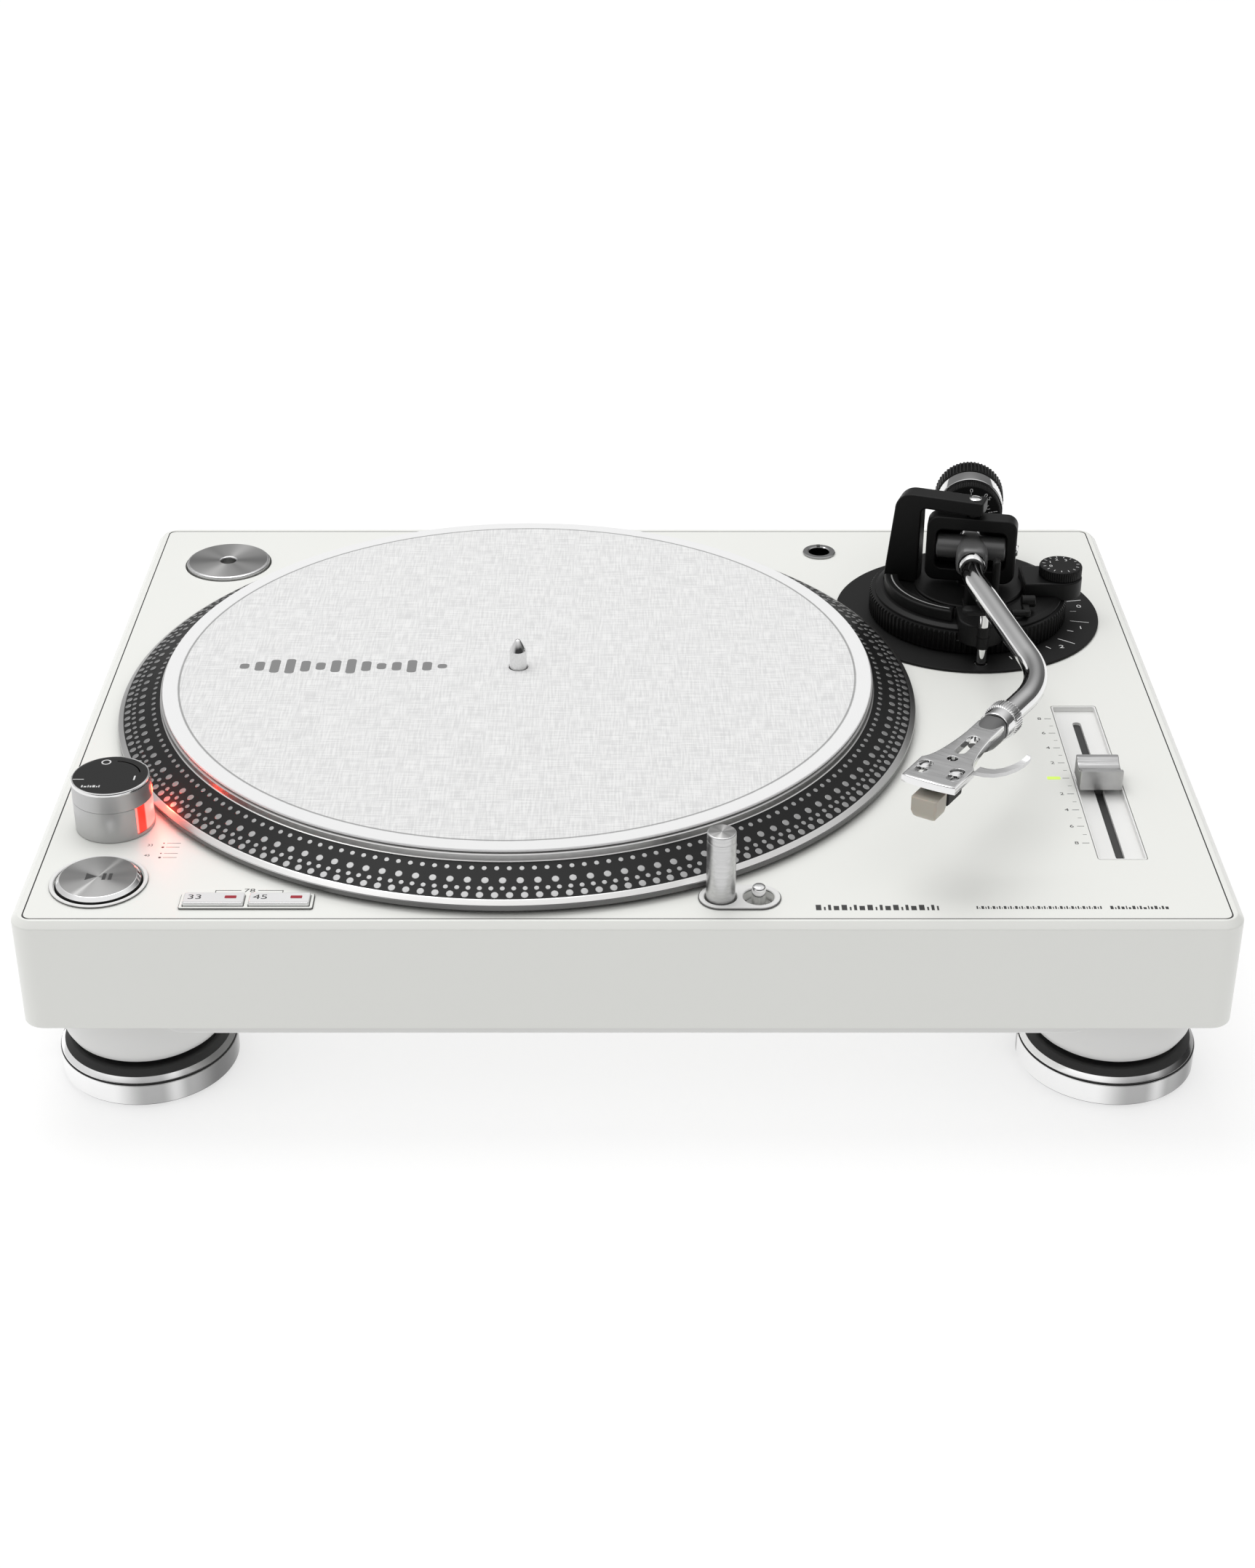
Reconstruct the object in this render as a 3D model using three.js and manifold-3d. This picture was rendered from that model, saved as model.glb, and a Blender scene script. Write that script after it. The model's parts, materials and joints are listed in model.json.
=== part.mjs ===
// Direct-drive turntable: a white plinth on four height-adjustable feet, a strobe-dot platter on its
// motor, deck controls, and a static-balance tonearm in a gimbal bearing. Millimetres, +Z up, origin
// on the floor under the middle of the plinth, +X to the operator's right and +Y to the back.
import * as THREE from 'three';
import { mergeVertices } from 'three/addons/utils/BufferGeometryUtils.js';
import Module from 'manifold-3d';

const wasm = await Module();
wasm.setup();

// ---- driving dimensions ----------------------------------------------------------------------
const GAP = 0.3;                     // running and resting clearance between neighbouring pieces
const WIDTH = 450;                   // plinth, left to right
const DEPTH = 350;                   // plinth, front to back
const DECK = 87;                     // deck surface above the floor
const SIDE_HEIGHT = 46;              // deck surface to the lower edge of the side walls
const CORNER = 9;                    // plinth corner radius in plan
const EDGE = 2.5;                    // bevel round the deck
const WALL = 3;                      // plinth wall
const TOP = 3.5;                     // deck thickness

const SPINDLE = [-45.6, -3.4];       // platter centre
const PLATTER_R = 166;               // 332 mm platter
const MAT_R = 147;                   // 12 inch slipmat
const MAT_TOP = 16.4;                // mat surface above the deck
const SPINDLE_R = 3.6;               // 7.2 mm record spindle

const PIVOT = [152.5, 80];           // tonearm's vertical axis, 215 mm from the spindle
const PIVOT_H = 33;                  // height of the gimbal axis above the deck
const ARM_TURN = -10.6;              // degrees: pivot-to-stylus line at rest, against straight ahead
const ARM_RAISE = 2;                 // degrees: the arm at rest is a little nose-up
const YOKE_TURN = -20;               // degrees: the yoke's plane
const BEAM_TURN = 4.6;               // degrees: the straight part of the arm against the same line
const OFFSET = 25.5;                 // degrees: headshell against the straight part
const TUBE_R = 4.8;

const FOOT = [186.5, 136];           // feet, either side of the middle
const START = [-196.3, -146.7];      // start and stop button
const DIAL = [-197.5, -104];         // power dial on its strobe tower
const SPEED = [-139.5, -160.4];      // middle of the two speed buttons
const LAMP = [34.2, -157.6];         // pop-up stylus lamp
const PIN = [48.2, -157.6];          // its release pin
const FADER = [186.9, -69.1];        // middle of the pitch fader's tray
const ADAPTER = [-187.1, 133.9];     // 45 rpm adapter
const SOCKET = [90.6, 145.5];        // socket for a spare headshell

const LIFT = [PIVOT[0] + 0.3, PIVOT[1] - 50.5];   // cue lift's rod

const radians = THREE.MathUtils.degToRad;

// ---- finishes --------------------------------------------------------------------------------
const finish = (color, roughness, metalness = 0) =>
  new THREE.MeshStandardMaterial({ color, roughness, metalness });
const WHITE = finish(0xf1f2ee, 0.35);
const BLACK = finish(0x1c1c1d, 0.5);
const RUBBER = finish(0x151515, 0.85);
const CHROME = finish(0xd8d8d8, 0.12, 1);
const BRUSHED = finish(0xb9babb, 0.3, 1);
const SILVER = finish(0xa9aaab, 0.35, 1);
const CLOTH = finish(0xe4e4e2, 0.9);
const GREY = finish(0x4a4a4b, 0.45);
const BOARD = finish(0x1f5a34, 0.6);
const STEEL = finish(0x8b8d90, 0.4, 1);
const COPPER = finish(0xb06a3a, 0.4, 1);
const RED = finish(0xe02818, 0.3);
const IVORY = finish(0xd8d2c4, 0.4);

// ---- solids ----------------------------------------------------------------------------------
// A closed geometry as a solid: shared vertices merged, collapsed triangles dropped, faces outward.
function solid(geometry) {
  const bare = geometry.clone();
  bare.deleteAttribute('normal');
  bare.deleteAttribute('uv');
  const merged = mergeVertices(bare, 1e-4);
  const at = merged.getAttribute('position');
  const index = merged.getIndex().array;
  const triangles = [];
  const a = new THREE.Vector3();
  const b = new THREE.Vector3();
  const c = new THREE.Vector3();
  let volume = 0;
  for (let i = 0; i < index.length; i += 3) {
    const [p, q, r] = [index[i], index[i + 1], index[i + 2]];
    if (p === q || q === r || r === p) continue;
    triangles.push(p, q, r);
    a.fromBufferAttribute(at, p);
    b.fromBufferAttribute(at, q);
    c.fromBufferAttribute(at, r);
    volume += a.dot(b.cross(c));
  }
  if (volume < 0) triangles.reverse();
  return new wasm.Manifold(new wasm.Mesh({
    numProp: 3,
    vertProperties: new Float32Array(at.array),
    triVerts: new Uint32Array(triangles),
  }));
}

const join = (...parts) => parts.reduce((whole, part) => whole.add(part));
const cut = (whole, ...parts) => parts.reduce((rest, part) => rest.subtract(part), whole);

function geometryOf(body) {
  const mesh = body.getMesh();
  const geometry = new THREE.BufferGeometry();
  geometry.setAttribute('position', new THREE.BufferAttribute(mesh.vertProperties.slice(), 3));
  geometry.setIndex(new THREE.BufferAttribute(mesh.triVerts.slice(), 1));
  geometry.computeVertexNormals();
  return geometry;
}

// Box between two corners.
function block(x0, x1, y0, y1, z0, z1) {
  const box = new THREE.BoxGeometry(x1 - x0, y1 - y0, z1 - z0);
  return solid(box.translate((x0 + x1) / 2, (y0 + y1) / 2, (z0 + z1) / 2));
}

// Upright cylinder, or cone when the top radius is given.
function post(x, y, z0, z1, radius, segments = 20, topRadius = radius) {
  const cylinder = new THREE.CylinderGeometry(topRadius, radius, z1 - z0, segments);
  return solid(cylinder.rotateX(Math.PI / 2).translate(x, y, (z0 + z1) / 2));
}

// Cylinder lying along X or along Y.
function rod(axis, from, to, radius, across, z, segments = 16, endRadius = radius) {
  const cylinder = new THREE.CylinderGeometry(endRadius, radius, to - from, segments);
  if (axis === 'x') return solid(cylinder.rotateZ(-Math.PI / 2).translate((from + to) / 2, across, z));
  return solid(cylinder.translate(across, (from + to) / 2, z));
}

// Ring or disc turned about an upright axis; the outline is [radius, height] pairs in a loop.
function turned(x, y, outline, segments = 24) {
  const points = [...outline, outline[0]].map(([r, z]) => new THREE.Vector2(r, z));
  const lathe = new THREE.LatheGeometry(points, segments);
  return solid(lathe.rotateX(Math.PI / 2).translate(x, y, 0));
}

const tube = (x, y, z0, z1, inner, outer, segments = 24) =>
  turned(x, y, [[inner, z0], [outer, z0], [outer, z1], [inner, z1]], segments);

// Rounded rectangle, as a shape in the XY plane.
function plate(x0, x1, y0, y1, radius) {
  const shape = new THREE.Shape();
  shape.moveTo(x0 + radius, y0);
  shape.lineTo(x1 - radius, y0);
  shape.absarc(x1 - radius, y0 + radius, radius, -Math.PI / 2, 0);
  shape.lineTo(x1, y1 - radius);
  shape.absarc(x1 - radius, y1 - radius, radius, 0, Math.PI / 2);
  shape.lineTo(x0 + radius, y1);
  shape.absarc(x0 + radius, y1 - radius, radius, Math.PI / 2, Math.PI);
  shape.lineTo(x0, y0 + radius);
  shape.absarc(x0 + radius, y0 + radius, radius, Math.PI, Math.PI * 1.5);
  return shape;
}

function raised(shape, z0, z1, curveSegments = 3) {
  const geometry = new THREE.ExtrudeGeometry(shape, {
    depth: z1 - z0, bevelEnabled: false, curveSegments,
  });
  return solid(geometry.translate(0, 0, z0));
}

const slab = (x0, x1, y0, y1, z0, z1, radius, curveSegments = 3) =>
  raised(plate(x0, x1, y0, y1, radius), z0, z1, curveSegments);

// Sector of a ring, between two angles in degrees.
function sector(x, y, inner, outer, from, to, z0, z1, curveSegments = 8) {
  const shape = new THREE.Shape();
  const [start, end] = [radians(from), radians(to)];
  shape.absarc(x, y, outer, start, end, false);
  shape.absarc(x, y, inner, end, start, true);
  return raised(shape, z0, z1, curveSegments);
}

// ---- assembly --------------------------------------------------------------------------------
const turntable = new THREE.Group();

function piece(name, body, material, parent = turntable) {
  const mesh = new THREE.Mesh(geometryOf(body), material);
  mesh.name = name;
  parent.add(mesh);
}

// A nested frame at a point, turned about the upright axis by degrees.
function frameAt(parent, x, y, z, turn = 0) {
  const group = new THREE.Group();
  group.position.set(x, y, z);
  group.rotation.z = radians(turn);
  parent.add(group);
  return group;
}

// ---- plinth ----------------------------------------------------------------------------------
const WALL_FOOT = DECK - SIDE_HEIGHT;
const PAN_BOTTOM = DECK - 51.5;
const STUD_R = 7;                    // threaded stud of a foot
const WELL_R = 78;                   // motor well in the deck
const REAR_PANEL = [-150, 20, 48, 76];
const POCKET_DEPTH = 9;              // 45 adapter's pocket

function plinthShell() {
  const outline = plate(-WIDTH / 2 + EDGE, WIDTH / 2 - EDGE, -DEPTH / 2 + EDGE, DEPTH / 2 - EDGE,
    CORNER - EDGE);
  const casing = new THREE.ExtrudeGeometry(outline, {
    depth: SIDE_HEIGHT, bevelEnabled: true, bevelSegments: 1, bevelSize: EDGE, bevelThickness: EDGE,
    curveSegments: 4,
  });
  const outer = solid(casing.translate(0, 0, DECK - EDGE - SIDE_HEIGHT));
  const underside = block(-WIDTH, WIDTH, -DEPTH, DEPTH, 0, WALL_FOOT);
  const inside = slab(-WIDTH / 2 + WALL, WIDTH / 2 - WALL, -DEPTH / 2 + WALL, DEPTH / 2 - WALL,
    0, DECK - TOP, CORNER - WALL);
  const [rear0, rear1, low, high] = REAR_PANEL;
  return cut(
    join(cut(outer, underside, inside), post(...ADAPTER, DECK - POCKET_DEPTH - 3, DECK - TOP, 23)),
    post(...ADAPTER, DECK - POCKET_DEPTH, DECK + 1, 20),
    post(...SPINDLE, 0, DECK + 1, WELL_R, 40),
    post(...START, 0, DECK + 1, 16.3),
    slab(SPEED[0] - 24.6, SPEED[0] + 24.6, SPEED[1] - 4.6, SPEED[1] + 4.6, 0, DECK + 1, 0.5, 1),
    post(...LAMP, 0, DECK + 1, 6.1),
    post(...PIN, 0, DECK + 1, 5.9),
    slab(FADER[0] - 9.5, FADER[0] + 9.5, FADER[1] - 61.4, FADER[1] + 61.4, 0, DECK + 1, 1, 2),
    post(...SOCKET, 0, DECK + 1, 6.6, 24),
    post(...PIVOT, 0, DECK + 1, 26, 32),
    post(...LIFT, 0, DECK + 1, 3, 16),
    block(rear0, rear1, DEPTH / 2 - 8, DEPTH / 2 + 1, low, high),
  );
}
piece('plinth_shell', plinthShell(), WHITE);

// Bottom cover: a plate inside the walls, a shallow tray under its middle, and the four moulded
// cups that the feet screw into.
const PAN_TOP = WALL_FOOT + 3.3;
const CUP_BOTTOM = 17;
function basePan() {
  const [halfWide, halfDeep] = [WIDTH / 2 - WALL - 0.6, DEPTH / 2 - WALL - 0.6];
  const cover = slab(-halfWide, halfWide, -halfDeep, halfDeep, WALL_FOOT + GAP, PAN_TOP, CORNER - WALL);
  const tray = slab(-FOOT[0] + 10, FOOT[0] - 10, -halfDeep, halfDeep, PAN_BOTTOM, WALL_FOOT + 1, 12);
  let pan = join(cover, tray);
  for (const side of [-1, 1]) {
    for (const end of [-1, 1]) {
      const [x, y] = [side * FOOT[0], end * FOOT[1]];
      pan = join(pan, turned(x, y, [[0, CUP_BOTTOM], [27, CUP_BOTTOM], [31, 22.5], [33.4, WALL_FOOT + 1],
        [0, WALL_FOOT + 1]]));
      pan = cut(pan, post(x, y, 0, 34, STUD_R + GAP, 16));
    }
  }
  return pan;
}
piece('base_pan', basePan(), WHITE);

// ---- feet: a chrome height ring round a rubber damper ---------------------------------------------
const FOOT_R = 34.2;
const footNames = { '-1,-1': 'front_left', '1,-1': 'front_right', '-1,1': 'rear_left', '1,1': 'rear_right' };
for (const [key, name] of Object.entries(footNames)) {
  const [side, end] = key.split(',').map(Number);
  const [x, y] = [side * FOOT[0], end * FOOT[1]];
  piece(`foot_ring_${name}`, turned(x, y, [[28, 1.4], [FOOT_R, 1.4], [FOOT_R, 10.7],
    [30, 15.5], [28, 15.5]]), CHROME);
  const pad = turned(x, y, [[0, 0], [31, 0], [31, 1], [27.6, 1], [27.6, 14], [25.5, 14],
    [25.5, CUP_BOTTOM - GAP], [STUD_R, CUP_BOTTOM - GAP], [STUD_R, 30], [0, 30]], 16);
  piece(`foot_damper_${name}`, pad, RUBBER);
}

// ---- motor and platter ---------------------------------------------------------------------------
const above = (height) => DECK + height;
piece('motor_stator', tube(...SPINDLE, above(-8), above(6), 15, 56, 24), COPPER);
piece('bearing_housing', join(
  tube(...SPINDLE, 50, above(4), 4.2, 13, 16),
  cut(slab(SPINDLE[0] - 84, SPINDLE[0] + 84, SPINDLE[1] - 84, SPINDLE[1] + 84, above(-12), above(-9), 20),
    post(...SPINDLE, 0, 200, 8, 16)),
), STEEL);

piece('platter', turned(...SPINDLE, [[4, above(14.9)], [4, above(5)], [12, above(5)], [14, above(10.5)],
  [140, above(10.5)], [159, above(1.7)], [PLATTER_R, above(1.7)], [PLATTER_R, above(4.2)],
  [PLATTER_R - 2.4, above(5.6)], [148.4, above(12)], [147.9, above(12)], [147.9, above(14.9)]], 64), SILVER);
piece('slipmat', tube(...SPINDLE, above(14.9 + GAP), above(MAT_TOP), 4, MAT_R, 64), CLOTH);
piece('spindle', turned(...SPINDLE, [[0, 52], [SPINDLE_R, 52], [SPINDLE_R, above(24)], [2.9, above(25.6)],
  [0.9, above(29)], [0, above(29)]], 16), CHROME);
piece('rotor_magnet', tube(...SPINDLE, above(-3), above(10.2), 59, 68, 32), GREY);

// ---- deck controls ---------------------------------------------------------------------------
piece('start_bezel', turned(...START, [[16.6, above(GAP)], [18.2, above(GAP)], [18.2, above(0.7)],
  [17.8, above(0.9)], [16.6, above(0.9)]]), CHROME);
piece('start_button', join(
  turned(...START, [[0, above(-4)], [15.2, above(-4)], [15.9, above(0)], [15.9, above(1.4)],
    [14.6, above(2.6)], [0, above(2.6)]]),
  post(...START, above(-12), above(-3), 4, 12)), BRUSHED);

const BUTTON = [22.2, 7.6];
const speedX = (side) => SPEED[0] + side * 12.05;
piece('speed_bezel', cut(
  slab(SPEED[0] - 25, SPEED[0] + 25, SPEED[1] - 5.6, SPEED[1] + 5.2, above(GAP), above(0.8), 0.6, 2),
  ...[-1, 1].map((side) => block(speedX(side) - 11.5, speedX(side) + 11.5, SPEED[1] - 4.2, SPEED[1] + 4.2,
    0, 200))), WHITE);
for (const [side, name] of [[-1, 'speed_button_33'], [1, 'speed_button_45']]) {
  const [half, deep] = [BUTTON[0] / 2, BUTTON[1] / 2];
  piece(name, join(
    slab(speedX(side) - half, speedX(side) + half, SPEED[1] - deep, SPEED[1] + deep, above(-4), above(2), 0.6, 2),
    block(speedX(side) - 3, speedX(side) + 3, SPEED[1] - 2, SPEED[1] + 2, above(-11), above(-3))), BRUSHED);
}

piece('lamp_bezel', cut(
  slab(LAMP[0] - 8.3, PIN[0] + 8.3, LAMP[1] - 8.3, LAMP[1] + 8.3, above(GAP), above(1), 8.2, 5),
  post(...LAMP, 0, 200, 5.9, 16), post(...PIN, 0, 200, 5.7, 16)), CHROME);
piece('stylus_lamp', cut(
  turned(...LAMP, [[0, above(-8)], [5.4, above(-8)], [5.4, above(28)], [4.9, above(28.7)], [0, above(28.7)]], 20),
  block(LAMP[0] - 2, LAMP[0] + 2, LAMP[1] + 3.2, LAMP[1] + 8, above(19), above(25))), BRUSHED);
piece('lamp_button', turned(...PIN, [[0, above(-6)], [5.2, above(-6)], [5.2, above(-3)], [2.6, above(-3)],
  [2.6, above(5)], [2.2, above(5.6)], [0, above(5.6)]], 16), CHROME);

// Power dial on the tower that lights the strobe dots.
const TOWER_TOP = 13;
const TOWER_R = 15.2;
piece('strobe_housing', cut(
  tube(...DIAL, above(GAP), above(TOWER_TOP), 3.4, TOWER_R, 32),
  post(...SPINDLE, 0, 200, PLATTER_R + 1, 96),
  sector(...DIAL, 11, TOWER_R + 1, -46, 50, above(1.5), above(20))), SILVER);
piece('strobe_window', sector(...DIAL, 11 + GAP, TOWER_R - 0.2, -44.3, 48.3, above(1.5 + GAP),
  above(TOWER_TOP - GAP)), RED);
piece('power_dial', join(
  turned(...DIAL, [[0, above(TOWER_TOP + GAP)], [TOWER_R, above(TOWER_TOP + GAP)], [14.9, above(20.6)],
    [14.4, above(21.4)], [0, above(21.4)]], 32),
  post(...DIAL, above(2), above(TOWER_TOP + 1), 3, 12)), SILVER);

// Pitch fader: sunken tray with a slot, the slider under it, and the knob that straddles the slot.
const TRAY_FLOOR = -2.4;
const SLOT_Y = FADER[1] - 3.1;
piece('fader_tray', cut(
  slab(FADER[0] - 9.2, FADER[0] + 9.2, FADER[1] - 61.1, FADER[1] + 61.1, above(TRAY_FLOOR - 1.6), above(-0.1), 0.9, 2),
  block(FADER[0] - 8.6, FADER[0] + 8.6, FADER[1] - 60.5, FADER[1] + 60.5, above(TRAY_FLOOR), above(5)),
  slab(FADER[0] - 1.7, FADER[0] + 1.7, SLOT_Y - 54.4, SLOT_Y + 54.4, 0, 200, 1.6, 3)), WHITE);
piece('fader_track', cut(
  block(FADER[0] - 7, FADER[0] + 7, SLOT_Y - 57.5, SLOT_Y + 57.5, above(-15), above(TRAY_FLOOR - 2)),
  block(FADER[0] - 2, FADER[0] + 2, SLOT_Y - 55, SLOT_Y + 55, above(-12), above(5))), STEEL);
piece('fader_knob', join(
  cut(slab(FADER[0] - 8.4, FADER[0] + 8.4, SLOT_Y - 7, SLOT_Y + 7, above(GAP), above(8.8), 0.8, 2),
    rod('x', 0, 400, 7, SLOT_Y, above(13.4), 24)),
  block(FADER[0] - 1.3, FADER[0] + 1.3, SLOT_Y - 3, SLOT_Y + 3, above(-11), above(2))), SILVER);

piece('adapter_45', cut(
  turned(...ADAPTER, [[0, above(-POCKET_DEPTH + GAP)], [18.2, above(-POCKET_DEPTH + GAP)], [19.2, above(-1)],
    [19.2, above(1)], [18.6, above(1.7)], [0, above(1.7)]]),
  post(...ADAPTER, 0, 200, 3.6, 16)), BRUSHED);
piece('headshell_socket', cut(
  join(tube(...SOCKET, above(GAP), above(1), 4.7, 7.6, 20), tube(...SOCKET, above(-20), above(0.8), 4.7, 6.2, 20),
    post(...SOCKET, above(-22), above(-19.9), 6.2, 20)),
  block(SOCKET[0] - 1.6, SOCKET[0] + 1.6, SOCKET[1] - 9, SOCKET[1] - 4.6, above(-8), above(2))), CHROME);

// ---- inside and back ---------------------------------------------------------------------------
piece('main_board', block(-150, -60, -150, -96, PAN_TOP + 3, PAN_TOP + 4.6), BOARD);
piece('power_transformer', block(60, 120, 60, 120, PAN_TOP + GAP, 76), STEEL);
const [REAR0, REAR1, REAR_LOW, REAR_HIGH] = REAR_PANEL;
const BACK = DEPTH / 2;
const BAY = 13;                      // depth of the terminal bay behind the rear wall
const REAR_FACE = BACK - BAY;
const hollow = (x, z, wide, high) =>
  block(x - wide / 2, x + wide / 2, REAR_FACE - 9, REAR_FACE + 1, z - high / 2, z + high / 2);
const TERMINAL_Z = 62;
const INLET = [-128, TERMINAL_Z];
const USB = [-96, TERMINAL_Z];
const SWITCH = [-70, TERMINAL_Z];
const LEVER_X = SWITCH[0] - 2;       // the lever rests at the left end of its slot
const JACKS = [-42, TERMINAL_Z];
const GROUND = [-8, TERMINAL_Z];
piece('rear_panel', cut(
  block(REAR0 + GAP, REAR1 - GAP, REAR_FACE - 3, BACK - 0.6, REAR_LOW + GAP, REAR_HIGH - GAP),
  block(REAR0 + 3, REAR1 - 3, REAR_FACE, BACK + 1, REAR_LOW + 3, REAR_HIGH - 3),
  hollow(...INLET, 24.6, 18.6), hollow(...USB, 13.6, 12.6), hollow(...SWITCH, 9, 4),
  hollow(...JACKS, 32.6, 15), hollow(...GROUND, 8.6, 8.6)), BLACK);
piece('ac_inlet', cut(
  block(INLET[0] - 12, INLET[0] + 12, REAR_FACE - 20, REAR_FACE + 0.5, INLET[1] - 9, INLET[1] + 9),
  block(INLET[0] - 10, INLET[0] + 10, REAR_FACE - 16, REAR_FACE + 1, INLET[1] - 6, INLET[1] + 6)), BLACK);
piece('usb_port', cut(
  block(USB[0] - 6.5, USB[0] + 6.5, REAR_FACE - 15, REAR_FACE + 0.5, USB[1] - 6, USB[1] + 6),
  block(USB[0] - 4.4, USB[0] + 4.4, REAR_FACE - 11, REAR_FACE + 1, USB[1] - 4, USB[1] + 4)), STEEL);
piece('output_switch', join(
  block(LEVER_X - 1.6, LEVER_X + 1.6, REAR_FACE - 5, REAR_FACE + 2.4, SWITCH[1] - 1.6, SWITCH[1] + 1.6),
  block(LEVER_X - 4, LEVER_X + 4, REAR_FACE - 7, REAR_FACE - 4, SWITCH[1] - 2.6, SWITCH[1] + 2.6)), GREY);
const barrel = (side) => rod('y', REAR_FACE - 4, REAR_FACE + 8.6, 4.1, JACKS[0] + side * 8, JACKS[1], 16);
piece('phono_jacks', join(
  block(JACKS[0] - 16, JACKS[0] + 16, REAR_FACE - 15, REAR_FACE + 0.5, JACKS[1] - 7.2, JACKS[1] + 7.2),
  barrel(-1), barrel(1)), BRUSHED);
piece('ground_terminal', join(
  rod('y', REAR_FACE - 11, REAR_FACE + 6, 2, ...GROUND, 12),
  rod('y', REAR_FACE + 1, REAR_FACE + 6.5, 4, ...GROUND, 16)), CHROME);

// ---- tonearm base ------------------------------------------------------------------------------
piece('arm_base_plate', cut(
  turned(...PIVOT, [[26, above(GAP)], [58.6, above(GAP)], [58.6, above(1.3)],
    [26, above(1.3)]], 56),
  post(...SPINDLE, 0, above(20), PLATTER_R + 1.2, 96),
  post(...LIFT, 0, 200, 3, 16)), BLACK);

const RING_TOP = 11.5;
const TEETH = 40;
function heightRing() {
  const shape = new THREE.Shape();
  for (let i = 0; i < TEETH * 2; i++) {
    const angle = (i * Math.PI) / TEETH;
    const radius = i % 2 ? 42.8 : 43.8;
    const [x, y] = [PIVOT[0] + radius * Math.cos(angle), PIVOT[1] + radius * Math.sin(angle)];
    if (i) shape.lineTo(x, y);
    else shape.moveTo(x, y);
  }
  const rim = cut(raised(shape, above(1.6), above(RING_TOP)), post(...PIVOT, 0, 200, 40.8, 40));
  return rim;
}
piece('height_ring', heightRing(), BLACK);

const SKATE = [PIVOT[0] + 40.4, PIVOT[1] - 1];      // anti-skating dial
const REST = [PIVOT[0] + 7.5, PIVOT[1] - 23];       // arm rest's post
const BASE_TOP = 13.5;
function armBase() {
  const column = join(
    tube(...PIVOT, above(-14), above(3), 19, 25, 24),
    post(...PIVOT, above(2.4), above(RING_TOP + 1), 40.3, 32),
    post(...PIVOT, above(RING_TOP + GAP), above(BASE_TOP), 41.4, 32, 39.6),
    post(...PIVOT, above(BASE_TOP - 0.1), above(15.3), 24, 24),
    post(...PIVOT, above(15), above(16.2), 5, 12),
    sector(...PIVOT, 31.5, 37.5, 174, 252, above(BASE_TOP - 0.1), above(18.5)),
    slab(PIVOT[0] + 23.4, SKATE[0], SKATE[1] - 9.6, SKATE[1] + 9.6, above(RING_TOP + GAP), above(20), 0.8, 1),
    post(...SKATE, above(RING_TOP + GAP), above(20), 9.8, 24));
  return cut(column, post(...SKATE, above(14), above(21), 2.4, 12));
}
piece('arm_base', armBase(), BLACK);
piece('antiskate_dial', join(
  turned(...SKATE, [[0, above(20 + GAP)], [9.5, above(20 + GAP)], [9.5, above(24.4)], [9, above(25)],
    [0, above(25)]], 28),
  post(...SKATE, above(14.4), above(20.5), 2, 12)), BLACK);

// Bracket in front of the base: seat for the arm, and guide for the cue lift's rod.
function armRest() {
  const guide = cut(
    join(post(LIFT[0], LIFT[1] + 9, above(8.5), above(18.5), 9.6, 20),
      block(LIFT[0] - 9.6, LIFT[0] + 9.6, LIFT[1] + 9, PIVOT[1] - 30, above(BASE_TOP + GAP), above(18.5))),
    post(...PIVOT, 0, above(BASE_TOP + GAP), 44.4, 40),
    post(...LIFT, 0, 200, 2.6, 12));
  const seat = block(REST[0] - 12, REST[0] - 2.2, REST[1] - 4, REST[1] + 4, above(15), above(26.1));
  const foot = slab(REST[0] - 13, REST[0] + 6, REST[1] - 12, REST[1] + 4, above(14.6), above(17.4), 2, 2);
  return cut(join(guide, seat, foot), post(...PIVOT, 0, above(15.6), 24.4, 24),
    block(0, 400, REST[1] - 2.4, 400, 0, above(14.5)));
}
piece('arm_rest', armRest(), BLACK);
piece('arm_clamp', slab(REST[0] - 0.7, REST[0] + 2.3, REST[1] - 3,
  REST[1] + 3, above(19), above(37.4), 1.2, 2), BLACK);
piece('cue_lift', join(
  post(...LIFT, above(-6), above(25.4), 2.2, 12),
  slab(LIFT[0] - 9.5, LIFT[0] + 8, LIFT[1] - 3, LIFT[1] + 3, above(24.9), above(27.5), 2.4, 3)), CHROME);
piece('cue_lever', join(
  rod('x', REST[0] + 7.6, LIFT[0] + 21.4, 1.6, PIVOT[1] - 32, above(16), 12),
  slab(LIFT[0] + 20, LIFT[0] + 23, PIVOT[1] - 33.5, PIVOT[1] - 24, above(14.6), above(17.4), 1, 2),
  rod('x', LIFT[0] + 20, LIFT[0] + 26, 2.6, PIVOT[1] - 23.4, above(17.6), 12)), GREY);

// Yoke: one upright on the left and a bar over the gimbal.
const yokeFrame = frameAt(turntable, ...PIVOT, above(PIVOT_H), YOKE_TURN);
function uprightPlate(shape, front, back, curveSegments = 3) {
  const geometry = new THREE.ExtrudeGeometry(shape, {
    depth: back - front, bevelEnabled: false, curveSegments,
  });
  return solid(geometry.rotateX(Math.PI / 2).translate(0, back, 0));
}
function yoke() {
  const [bottom, under, top] = [BASE_TOP - PIVOT_H + GAP, 16.9, 23];
  const shape = new THREE.Shape();
  shape.moveTo(-34.6, bottom);
  shape.lineTo(-26, bottom);
  shape.lineTo(-26, under - 3);
  shape.absarc(-23, under - 3, 3, Math.PI, Math.PI / 2, true);
  shape.lineTo(5, under);
  shape.lineTo(5, top);
  shape.lineTo(-27, top);
  shape.absarc(-27, top - 5, 5, Math.PI / 2, Math.PI, false);
  return uprightPlate(shape, -4.8, 4.8);
}
piece('arm_yoke', yoke(), BLACK, yokeFrame);

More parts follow.
